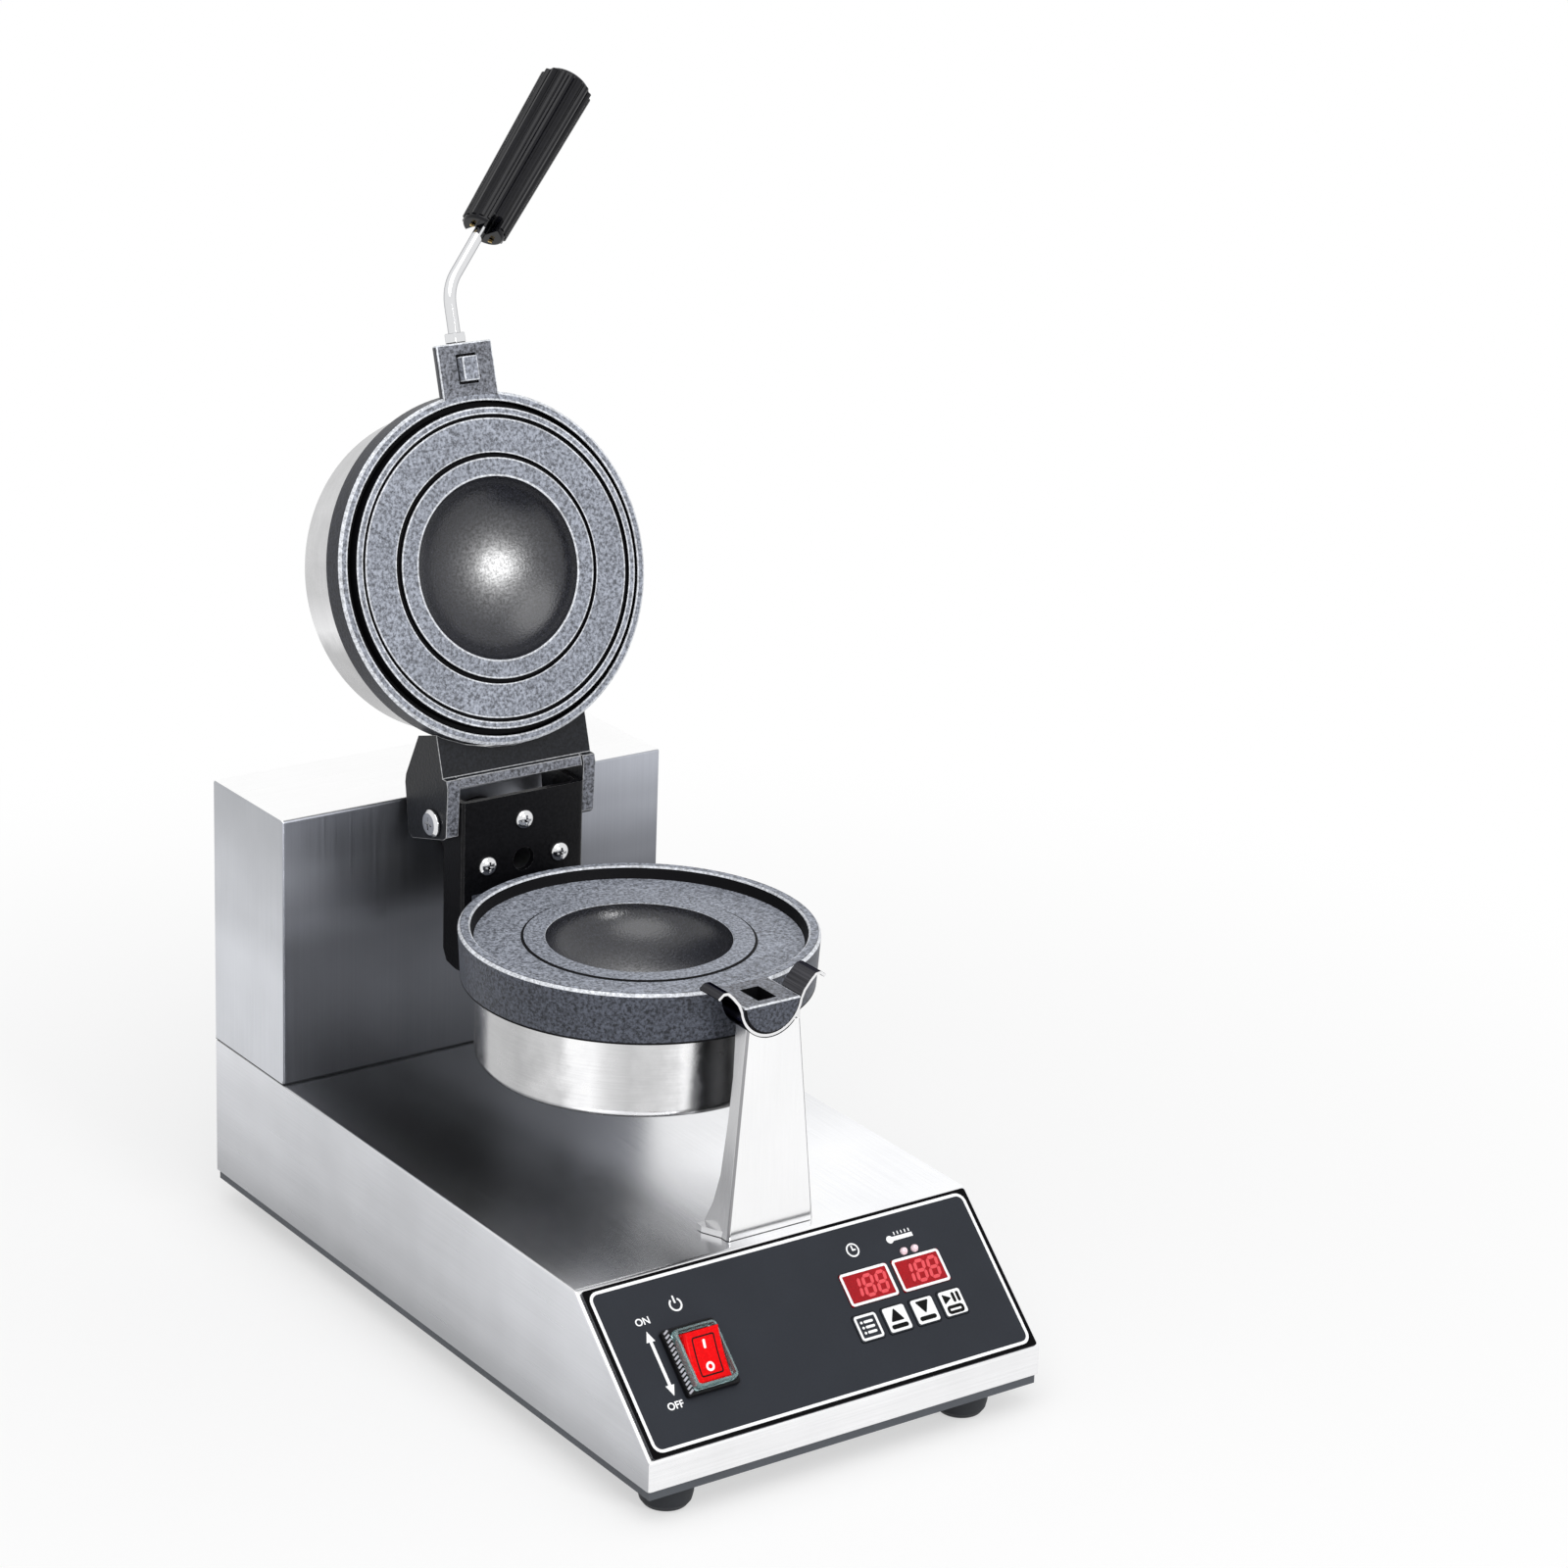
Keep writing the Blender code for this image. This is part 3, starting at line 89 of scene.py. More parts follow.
ALONG_Y = Matrix.Rotation(-pi / 2, 4, "X")
HEAD = at(0, PLATE_Y, TURN_Z)
LID = at(0, HINGE_Y, HINGE_Z) @ Matrix.Rotation(-LID_OPENING, 4, "X") @ at(0, -HINGE_Y, -HINGE_Z)
LID_HEAD = LID @ HEAD
PANEL = at(0, FRONT_Y + SLOPE_RUN, BASE_TOP) @ Matrix.Rotation(SLOPE, 4, "X") @ at(0, -SLOPE_REACH, 0)


def moved(bm, *steps):
    """Apply matrices to a bmesh, the last one given first."""
    matrix = Matrix.Identity(4)
    for step in steps:
        matrix = matrix @ step
    bm.transform(matrix)
    return bm


print("panel slope in degrees:", round(degrees(SLOPE), 1))

# %% Outlines
def arc(centre, radius, start, end, steps):
    """Points along an arc, both ends included; angles in degrees."""
    angles = [radians(start + (end - start) * i / steps) for i in range(steps + 1)]
    return [(centre[0] + radius * cos(a), centre[1] + radius * sin(a)) for a in angles]


def shifted(outline, dx, dy):
    return [(x + dx, y + dy) for x, y in outline]


def circle(radius, middle):
    return shifted(arc((0, 0), radius, 0, 352.5, 47), *middle)


def rounded(width, height, radius, steps=6):
    """A rectangle with round corners, about its middle, counter-clockwise."""
    points = []
    for quarter, (sx, sy) in enumerate([(1, 1), (-1, 1), (-1, -1), (1, -1)]):
        centre = (sx * (width / 2 - radius), sy * (height / 2 - radius))
        points += arc(centre, radius, 90 * quarter, 90 * quarter + 90, steps)
    return points


def curve_through(start, corner, end, steps):
    """Points of a smooth bend from start to end that leans on a corner."""
    ts = [k / steps for k in range(steps + 1)]
    return [start * (1 - t) ** 2 + corner * 2 * t * (1 - t) + end * t * t for t in ts]


def eased(points, radius, steps=3, closed=False):
    """Round the corners of a line of points in a plane. Corners that hardly turn stay."""
    places = [Vector(p) for p in points]
    result = []
    for i, p in enumerate(places):
        before, after = places[i - 1] - p, places[(i + 1) % len(places)] - p
        at_end = not closed and i in (0, len(places) - 1)
        if at_end or min(before.length, after.length) < 1e-9 or before.angle(after) / 2 > radians(82):
            result.append(tuple(p))
            continue
        reach = min(radius / tan(before.angle(after) / 2), 0.45 * before.length, 0.45 * after.length)
        bend = curve_through(p + before.normalized() * reach, p, p + after.normalized() * reach, steps)
        result += [tuple(point) for point in bend]
    return result


print("a rounded square has", len(rounded(1, 1, 0.1)), "points")

# %% Solids
def lofted(rings):
    """A closed solid through rings of points with equal counts."""
    bm = bmesh.new()
    rows = [[bm.verts.new(p) for p in ring] for ring in rings]
    bm.faces.new(rows[0])
    bm.faces.new(rows[-1])
    for lower, upper in zip(rows, rows[1:]):
        for i in range(len(lower)):
            j = (i + 1) % len(lower)
            bm.faces.new((lower[i], lower[j], upper[j], upper[i]))
    bmesh.ops.recalc_face_normals(bm, faces=bm.faces)
    return bm


def prism(outline, low, high, along="X"):
    """Extrude an outline: it is (y, z) along X, (x, z) along Y and (x, y) along Z."""
    place = {
        "X": lambda p, t: (t, *p),
        "Y": lambda p, t: (p[0], t, p[1]),
        "Z": lambda p, t: (*p, t),
    }[along]
    return lofted([[place(p, level) for p in outline] for level in (low, high)])


def block(x, y, z):
    return prism([(x[0], y[0]), (x[1], y[0]), (x[1], y[1]), (x[0], y[1])], z[0], z[1], "Z")


def turned(profile, sides=96):
    """Spin a profile of (radius, height) about Z. One that starts off the axis closes into a ring."""
    bm = bmesh.new()
    rings = []
    for radius, height in profile:
        count = sides if radius > 1e-9 else 1
        spokes = [2 * pi * i / count for i in range(count)]
        rings.append([bm.verts.new((radius * cos(a), radius * sin(a), height)) for a in spokes])
    pairs = list(zip(rings, rings[1:]))
    if profile[0][0] > 1e-9:
        pairs.append((rings[-1], rings[0]))
    for lower, upper in pairs:
        for i in range(sides):
            j = (i + 1) % sides
            corners = [lower[i % len(lower)], lower[j % len(lower)]]
            corners += [upper[j % len(upper)], upper[i % len(upper)]]
            bm.faces.new(list(dict.fromkeys(corners)))
    bmesh.ops.recalc_face_normals(bm, faces=bm.faces)
    return bm


def cylinder(radius, low, high, sides=48):
    return turned([(0, low), (radius, low), (radius, high), (0, high)], sides)


def rounded_edges(bm, edges, width, steps, **options):
    bmesh.ops.bevel(bm, geom=edges, offset=width, segments=steps, profile=0.5, affect="EDGES", **options)
    return bm


def softened(bm, width, steps=2, sharper=30, mark=-1):
    """Round the edges that turn by more than so many degrees; mark is the new faces' material."""
    edges = [e for e in bm.edges if e.is_manifold and e.calc_face_angle(0) > radians(sharper)]
    return rounded_edges(bm, edges, width, steps, clamp_overlap=True, material=mark)


def choose_finish(bm, pick):
    """Set each face's material number from its normal and its middle."""
    bm.normal_update()
    for face in bm.faces:
        face.material_index = pick(face.normal, face.calc_center_median())
    return bm


def painted(bm, number):
    """Give all faces the material with this number."""
    return choose_finish(bm, lambda normal, middle: number)


print("a block has", len(block((0, 1), (0, 1), (0, 1)).faces), "faces")

# %% Joining and cutting
def as_object(bm, name="blank"):
    mesh = bpy.data.meshes.new(name)
    bm.to_mesh(mesh)
    bm.free()
    obj = bpy.data.objects.new(name, mesh)
    bpy.context.scene.collection.objects.link(obj)
    return obj


def evaluated(obj, **options):
    """The mesh of an object as its modifiers leave it."""
    bpy.context.view_layer.update()
    graph = bpy.context.evaluated_depsgraph_get()
    return bpy.data.meshes.new_from_object(obj.evaluated_get(graph), depsgraph=graph, **options)


def taken_in(mesh, bm=None):
    """Move a mesh's shape into a bmesh."""
    bm = bmesh.new() if bm is None else bm
    bm.from_mesh(mesh)
    bpy.data.meshes.remove(mesh)
    return bm


def cut(body, *tools, operation="DIFFERENCE"):
    """Cut one bmesh after another from a body, or join it on where the operation says so."""
    for tool in tools:
        pair = as_object(body), as_object(tool)
        change = pair[0].modifiers.new("shape", "BOOLEAN")
        change.operation, change.solver, change.object = operation, "EXACT", pair[1]
        bpy.context.view_layer.update()
        body = bmesh.new()
        body.from_object(pair[0], bpy.context.evaluated_depsgraph_get())
        for obj in pair:
            mesh = obj.data
            bpy.data.objects.remove(obj)
            bpy.data.meshes.remove(mesh)
    return body


def welded(body, *parts):
    """Make one solid of a body and parts that reach into it."""
    return cut(body, *parts, operation="UNION")


def joined(*parts):
    """Put several bmeshes into one, side by side."""
    whole = bmesh.new()
    for part in parts:
        mesh = bpy.data.meshes.new("part")
        part.to_mesh(mesh)
        part.free()
        taken_in(mesh, whole)
    return whole


def merged_copy(node, width, mark, pick=None):
    """A finer copy of a solid of the frame: its loose triangles merged, its edges slightly round."""
    bm = bmesh.new()
    bm.from_mesh(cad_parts[node].data)
    bmesh.ops.remove_doubles(bm, verts=bm.verts, dist=1e-6)
    bmesh.ops.dissolve_limit(bm, angle_limit=radians(0.5), verts=bm.verts, edges=bm.edges)
    if pick:
        choose_finish(bm, pick)
    return softened(bm, width, mark=mark)


notched = cut(block((0, 2), (0, 2), (0, 2)), block((1, 3), (1, 3), (1, 3)))
print("a notched block has", len(notched.faces), "faces")

# %% Pieces
SHARP_ANGLE = radians(32)
# The frame brings plain materials under some of the same names, so the finishes are kept apart.
finishes = {}


def evened(obj):
    """Let the normals at corners follow the larger faces, so that flat faces look flat."""
    obj.modifiers.new("even", "WEIGHTED_NORMAL").keep_sharp = True
    mesh = evaluated(obj, preserve_all_data_layers=True)
    obj.modifiers.clear()
    plain_mesh, obj.data = obj.data, mesh
    bpy.data.meshes.remove(plain_mesh)
    obj.data.name = obj.name


def piece(name, bm, finish_names, body, slot, *stands_for):
    """Make a finished piece that rides on a body and may stand for some solids."""
    obj = as_object(bm, name)
    for finish_name in finish_names.split():
        obj.data.materials.append(finishes[finish_name])
    obj.data.shade_smooth()
    obj.data.set_sharp_from_angle(angle=SHARP_ANGLE)
    evened(obj)
    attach(obj, body)
    if stands_for:
        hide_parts(*stands_for)
    print(f"{name}: {len(obj.data.polygons)} faces on {body}")


# %% [markdown]
# ## Camera, light and floor
# The camera was solved from the edges of the housing: it stands in front of the machine and to
# its left, looks down by 19 degrees and leans by 2. A long lens keeps the edges nearly parallel.
# The studio is plain: a white floor and a white sky, one broad lamp above and one beside it.

# %% Camera
CAMERA_AT, LENS, SENSOR = (-1.0617, -1.5985, 0.9454), 98.8, 36.0
right, up = Vector((0.8158, -0.5773, 0.0354)), Vector((0.1648, 0.2906, 0.9425))
camera = bpy.data.objects.new("camera", bpy.data.cameras.new("camera"))
camera.data.sensor_width, camera.data.lens = SENSOR, LENS
facing = Matrix((right, up, right.cross(up))).transposed().to_4x4()
camera.matrix_world = at(*CAMERA_AT) @ facing
bpy.context.scene.collection.objects.link(camera)
bpy.context.scene.camera = camera
bpy.context.scene.view_settings.view_transform = "Standard"
print("camera at", [round(v, 3) for v in camera.location])

# %% Nodes in a few words
WHITE = (1, 1, 1, 1)


def add_node(tree, kind, inputs=None, **settings):
    """Add a node, set its options, and give each input a value or a socket to link from."""
    node = tree.nodes.new(kind)
    for key, value in settings.items():
        setattr(node, key, value)
    for key, value in (inputs or {}).items():
        if isinstance(value, bpy.types.NodeSocket):
            tree.links.new(value, node.inputs[key])
        else:
            node.inputs[key].default_value = value
    return node


def calculated(tree, operation, first, second):
    return add_node(tree, "ShaderNodeMath", {0: first, 1: second}, operation=operation).outputs[0]


def product(tree, first, second):
    return calculated(tree, "MULTIPLY", first, second)


def object_place(tree):
    return add_node(tree, "ShaderNodeTexCoord").outputs["Object"]


def measured(tree, operation, vector, other=(0, 0, 0)):
    """A number that one or two vectors give, such as their distance."""
    pair = {0: vector, 1: Vector(other)}
    return add_node(tree, "ShaderNodeVectorMath", pair, operation=operation).outputs["Value"]


def finish(name, colour, roughness, metallic=0.0, **values):
    """A new material with its fixed values; words in a value's name are joined by underscores."""
    material = bpy.data.materials.new(name)
    material.use_nodes = True
    shader = material.node_tree.nodes["Principled BSDF"]
    fixed = {"Base Color": (*colour, 1), "Roughness": roughness, "Metallic": metallic}
    fixed.update({key.replace("_", " "): value for key, value in values.items()})
    for key, value in fixed.items():
        shader.inputs[key].default_value = value
    finishes[name] = material
    return material


print("node tools ready")

# %% Sky and lamps
def light_rays(tree):
    """1 for rays from the camera, from gloss and through glass, which should see plain white."""
    rays = add_node(tree, "ShaderNodeLightPath").outputs
    total = rays["Is Camera Ray"]
    for name in ("Is Glossy Ray", "Is Transmission Ray"):
        total = calculated(tree, "MAXIMUM", total, rays[name])
    return total


world = bpy.data.worlds.new("studio")
world.use_nodes = True
bpy.context.scene.world = world
sky = world.node_tree
sky.nodes.clear()
soft, plain = (
    add_node(sky, "ShaderNodeBackground", {"Color": WHITE, "Strength": strength}).outputs[0]
    for strength in (0.62, 1.0))
mixed = add_node(sky, "ShaderNodeMixShader", {0: light_rays(sky), 1: soft, 2: plain})
add_node(sky, "ShaderNodeOutputWorld", {"Surface": mixed.outputs[0]})


def lamp(name, place, target, size, power):
    light = bpy.data.lights.new(name, "AREA")
    light.shape, light.size, light.energy = "DISK", size, power
    obj = bpy.data.objects.new(name, light)
    bpy.context.scene.collection.objects.link(obj)
    way = Vector(target) - Vector(place)
    obj.matrix_world = at(*place) @ way.to_track_quat("-Z", "Y").to_matrix().to_4x4()


lamp("lamp_above", (-0.7, -0.9, 2.3), (0, 0, 0.1), 2.4, 27.0)
lamp("lamp_beside", (0.10, -2.12, 0.92), (0, 0.13, 0.36), 0.50, 12.0)

# %% Floor
FLOOR_RADIUS = 9.0
SHADOW_FROM, SHADOW_TO = 0.20, 0.85
floor_finish = finish("floor_finish", (0.90, 0.90, 0.90), 0.85, Specular_IOR_Level=0.1)
ground = floor_finish.node_tree
surface = ground.nodes["Principled BSDF"]
away = measured(ground, "LENGTH", object_place(ground))
fade = add_node(ground, "ShaderNodeMapRange", {
    "Value": away, "From Min": SHADOW_FROM, "From Max": SHADOW_TO, "To Min": 0.55, "To Max": 1.0},
    interpolation_type="SMOOTHSTEP")
seen = product(ground, fade.outputs[0], light_rays(ground))
white = add_node(ground, "ShaderNodeEmission", {"Color": WHITE, "Strength": 1.0})
blend = add_node(ground, "ShaderNodeMixShader", {0: seen, 1: surface.outputs[0], 2: white.outputs[0]})
ground.links.new(blend.outputs[0], ground.nodes["Material Output"].inputs["Surface"])
disc = bmesh.new()
bmesh.ops.create_circle(disc, cap_ends=True, segments=96, radius=FLOOR_RADIUS)
floor = as_object(disc, "studio_floor")
floor.data.materials.append(floor_finish)
print("floor", 2 * FLOOR_RADIUS, "m across")

# %% [markdown]
# ## Finishes
# Every finish starts from one shader with plain values. What the real surface does is added by
# nodes that read Object coordinates: fine lines for brushed steel, grains for the coating, a
# slight cloudiness for plastic. Values that don't change over the surface sit on the shader itself.

# %% Variation over a surface
def coordinates(tree, scale=(1, 1, 1), origin=(0, 0, 0), turn=(0, 0, 0)):
    """Object coordinates, seen from an origin, turned and stretched."""
    values = {"Vector": object_place(tree), "Location": origin, "Rotation": turn}
    centred = add_node(tree, "ShaderNodeMapping", values, vector_type="TEXTURE").outputs[0]
    return add_node(tree, "ShaderNodeMapping", {"Vector": centred, "Scale": scale}).outputs[0]


def noise(tree, vector, size=1.0, detail=2.0, roughness=0.5):
    values = {"Vector": vector, "Scale": size, "Detail": detail, "Roughness": roughness}
    return add_node(tree, "ShaderNodeTexNoise", values).outputs["Fac"]


def ranged(tree, value, low, high, start=0.3, end=0.7):
    """Carry start..end over to low..high. A noise seldom leaves 0.3..0.7."""
    values = {"Value": value, "From Min": start, "From Max": end, "To Min": low, "To Max": high}
    return add_node(tree, "ShaderNodeMapRange", values).outputs[0]


def varied(tree, value, amount, start=0.3, end=0.7):
    """A factor that varies about 1 by an amount."""
    return ranged(tree, value, 1 - amount, 1 + amount, start, end)


def scaled_colour(tree, colour, factor):
    """A colour multiplied by a factor that varies."""
    start = colour if isinstance(colour, bpy.types.NodeSocket) else Vector(colour)
    return add_node(tree, "ShaderNodeVectorMath", {0: start, "Scale": factor}, operation="SCALE").outputs[0]


def toned(tree, value, stops, shape="LINEAR", blue=1.0):
    """Grey tones at stops of (value, tone), blended in between."""
    first, last = stops[0][0], stops[-1][0]
    ramp = add_node(tree, "ShaderNodeValToRGB", {"Fac": ranged(tree, value, 0.0, 1.0, first, last)})
    ramp.color_ramp.interpolation = shape
    bands = ramp.color_ramp.elements
    while len(bands) < len(stops):
        bands.new(0.5)
    for band, (place, tone) in zip(bands, stops):
        band.position, band.color = (place - first) / (last - first), (tone, tone, tone * blue, 1)
    return ramp.outputs["Color"]


def set_link(material, name, socket):
    tree = material.node_tree
    tree.links.new(socket, tree.nodes["Principled BSDF"].inputs[name])


def bumped(material, height, strength, distance):
    values = {"Height": height, "Strength": strength, "Distance": distance}
    set_link(material, "Normal", add_node(material.node_tree, "ShaderNodeBump", values).outputs[0])


print("finish tools ready")


# %% [markdown]
# ### Brushed and polished steel
# Brushed steel carries very fine lines all in one direction, and soft clouds where the belt
# pressed harder. A noise that is stretched a hundredfold along the brushing gives the lines. The
# large sheets also carry painted reflections: broad tones, set by stops along a direction, paint
# them dark beside the tower and the plates, which they would mirror, and light where the sheet
# faces the room.

# %% Steel
ACROSS_LINES, ALONG_LINES = 1500.0, 14.0


def steel(name, colour, brushing, roughness=0.28, lines=0.03, clouds=0.05, painted_reflections=(), **values):
    """Steel brushed along X, Y or Z, with painted reflections as broad tones along some directions."""
    material = finish(name, colour, roughness, 1.0, **values)
    tree = material.node_tree
    stretch = [ALONG_LINES if axis == brushing else ACROSS_LINES for axis in "XYZ"]
    line = noise(tree, coordinates(tree, stretch), detail=1.5)
    cloud = noise(tree, coordinates(tree), size=22.0, detail=3.0)
    factor = product(tree, varied(tree, line, lines), varied(tree, cloud, clouds))
    for direction, stops in painted_reflections:
        along = measured(tree, "DOT_PRODUCT", object_place(tree), direction)
        factor = product(tree, factor, toned(tree, along, stops, "EASE"))
    set_link(material, "Base Color", scaled_colour(tree, colour, factor))
    set_link(material, "Roughness", ranged(tree, line, roughness * 0.9, roughness * 1.1, 0.25, 0.75))
    bumped(material, line, 0.03, 0.00005)


# Each painted reflection is a direction and its stops: (metres along it, factor).
ALONG_SIDE = ((0, 1, 0), [(-0.207, 1.0), (-0.10, 0.93), (0.0, 0.80), (0.08, 0.83), (0.193, 0.97)])
UP_SIDE = ((0, 0, 1), [(0.018, 0.60), (0.040, 0.80), (0.060, 0.92), (0.090, 1.02)])
UP_TOWER = ((0, 0, 1), [(0.090, 0.98), (0.140, 1.05), (0.170, 0.90), (0.229, 0.70)])
UP_FRONT = ((0, 0, 1), [
    (0.090, 0.66), (0.130, 0.82), (0.158, 0.72), (0.178, 1.10), (0.205, 1.80), (0.229, 2.40)])
ACROSS_FRONT = ((1, 0, 0), [(-0.110, 1.20), (-0.060, 0.95), (-0.035, 0.80), (0.035, 0.80), (0.110, 1.0)])
ACROSS_TOP = ((1, 0.10, 0), [(-0.110, 0.95), (-0.075, 0.62), (-0.045, 0.80), (-0.015, 1.22), (0.120, 1.22)])
ALONG_TOP = ((0, 1, 0), [(-0.144, 1.0), (-0.085, 1.0), (0.0, 0.85), (0.123, 0.80)])
PAINTED_REFLECTIONS = {
    "side_steel": [ALONG_SIDE, UP_SIDE], "top_steel": [ACROSS_TOP, ALONG_TOP],
    "tower_side_steel": [UP_TOWER], "tower_front_steel": [UP_FRONT, ACROSS_FRONT],
}
# The colour, the brushing, the roughness, and the strength of the lines and of the clouds.
# Each face of a sheet also gets its own copy of the steel, lighter or darker as painted light and shade: the
# lip, the tower's top and the post's front are painted light, and the tower's front, the post's flanges and
# its folds are painted dark.
STEELS = {
    "side_steel": ((0.73, 0.74, 0.77), "Y", 0.30),
    "lip_steel": ((0.90, 0.90, 0.91), "X", 0.25),
    "top_steel": ((0.80, 0.805, 0.82), "Y", 0.24, 0.03, 0.03),
    "tower_side_steel": ((0.62, 0.635, 0.67), "Z", 0.30),
    "tower_front_steel": ((0.186, 0.193, 0.214), "Z", 0.34),
    "tower_top_steel": ((0.97, 0.97, 0.97), "X", 0.30, 0.01, 0.01),
    "post_steel": ((0.95, 0.95, 0.955), "Z", 0.18, 0.01, 0.02),
    "flange_steel": ((0.60, 0.60, 0.61), "Z", 0.20),
    "fold_steel": ((0.34, 0.34, 0.35), "Z", 0.25),
    # The cradle strip's cut edges are painted light, as a painted highlight.
    "strip_edge": ((0.85, 0.85, 0.86), "Y", 0.20),
    "plain_steel": ((0.42, 0.43, 0.45), "Y", 0.36),
    "bright_steel": ((0.80, 0.81, 0.83), "Z", 0.12),
    "brass": ((0.82, 0.60, 0.24), "Z", 0.22),
}
for name, row in STEELS.items():
    steel(name, *row, painted_reflections=PAINTED_REFLECTIONS.get(name, ()))
# A dark tint at grazing angles: a painted reflection of dark surroundings along the edges of the cradle strip
# and of the chrome.
PAINTED_DARK_GLANCE = (0.25, 0.25, 0.27, 1)
# The cradle strip's steel is painted dark, as a painted reflection.
steel("strip_steel", (0.060, 0.060, 0.066), "Y", 0.14, 0.45, Specular_Tint=PAINTED_DARK_GLANCE)
steel("chrome", (0.74, 0.745, 0.755), "Z", 0.07, 0.01, 0.03, Specular_Tint=PAINTED_DARK_GLANCE)
print("metal finishes:", len(STEELS) + 2)

# %% [markdown]
# ### Cup steel
# The two cups were polished while they spun, so their reflections draw out into upright bands.
# These bands are painted reflections: the angle round the cup's own axis drives a ramp with a few
# light and dark bands, and the usual fine lines run round the wall.

# %% Cup steel
# Painted reflection bands are (degrees round the axis, tone). The darkest band on the lower cup,
# towards the post, is a painted reflection of the post.
LOWER_REFLECTION_BANDS = [
    (-180, 0.52), (-168, 0.48), (-158, 0.60), (-152, 0.68), (-147, 0.98), (-139, 0.98), (-134, 0.72),
    (-127, 0.58), (-116, 0.66), (-110, 0.80), (-107, 0.98), (-103, 0.98), (-101, 0.10), (-80, 0.06),
    (-72, 0.50), (-50, 0.80), (-20, 0.60), (30, 0.75), (80, 0.50), (130, 0.72), (180, 0.52),
]
UPPER_REFLECTION_BANDS = [
    (-180, 0.58), (-150, 0.62), (-100, 0.45), (-60, 0.62), (-20, 0.44), (30, 0.62), (90, 0.45),
    (140, 0.45), (158, 0.52), (166, 0.84), (180, 0.58),
]


def cup_steel(name, origin, turn, bands):
    """Polished steel with painted reflection bands round its axis, whose edges wander a little."""
    material = finish(name, (0.8, 0.8, 0.8), 0.22, 1.0)
    tree = material.node_tree
    place = coordinates(tree, (1, 1, 1), origin, turn)
    parts = add_node(tree, "ShaderNodeSeparateXYZ", {0: place}).outputs
    cloud = noise(tree, coordinates(tree), size=70.0, detail=4.0, roughness=0.6)
    angle = calculated(tree, "ARCTAN2", parts["Y"], parts["X"])
    wandering = calculated(tree, "ADD", ranged(tree, cloud, -0.07, 0.07, 0, 1), angle)
    tone = toned(tree, wandering, [(radians(degree), tone) for degree, tone in bands], blue=1.01)
    line = noise(tree, coordinates(tree, (60, 60, 1500), origin, turn), detail=1.0)
    factor = product(tree, ranged(tree, cloud, 0.92, 1.06), varied(tree, line, 0.03))
    set_link(material, "Base Color", scaled_colour(tree, tone, factor))
    set_link(material, "Roughness", ranged(tree, cloud, 0.16, 0.30))
    bumped(material, line, 0.06, 0.00005)


cup_steel("lower_cup_steel", (0, PLATE_Y, TURN_Z), (0, 0, 0), LOWER_REFLECTION_BANDS)
cup_steel("upper_cup_steel", tuple(LID_HEAD.translation), (-LID_OPENING, 0, 0), UPPER_REFLECTION_BANDS)
print("cup bands:", len(LOWER_REFLECTION_BANDS), "and", len(UPPER_REFLECTION_BANDS))

# %% [markdown]
# ### Castings, plastics and inks
# The plates are cast iron or aluminium under a speckled non-stick coat. Grains about a millimetre
# across change the colour and the gloss a little and give a slight bump. Plastics, paint, rubber
# and inks are made in the same way, with finer and weaker grains.

# %% Coatings
def coating(name, colour, roughness, grain, contrast, bump, gloss=0.5, **values):
    """A grainy coat; grain is the number of grains in a metre."""
    material = finish(name, colour, roughness, Specular_IOR_Level=gloss, **values)
    tree = material.node_tree
    speck = noise(tree, coordinates(tree), size=grain, detail=2.0, roughness=0.7)
    cloud = noise(tree, coordinates(tree), size=25.0, detail=2.0)
    factor = product(tree, varied(tree, speck, contrast, 0.35, 0.65), varied(tree, cloud, 0.08))
    set_link(material, "Base Color", scaled_colour(tree, colour, factor))
    set_link(material, "Roughness", ranged(tree, speck, roughness * 0.85, roughness * 1.15))
    bumped(material, speck, bump, 0.0004)
    return material


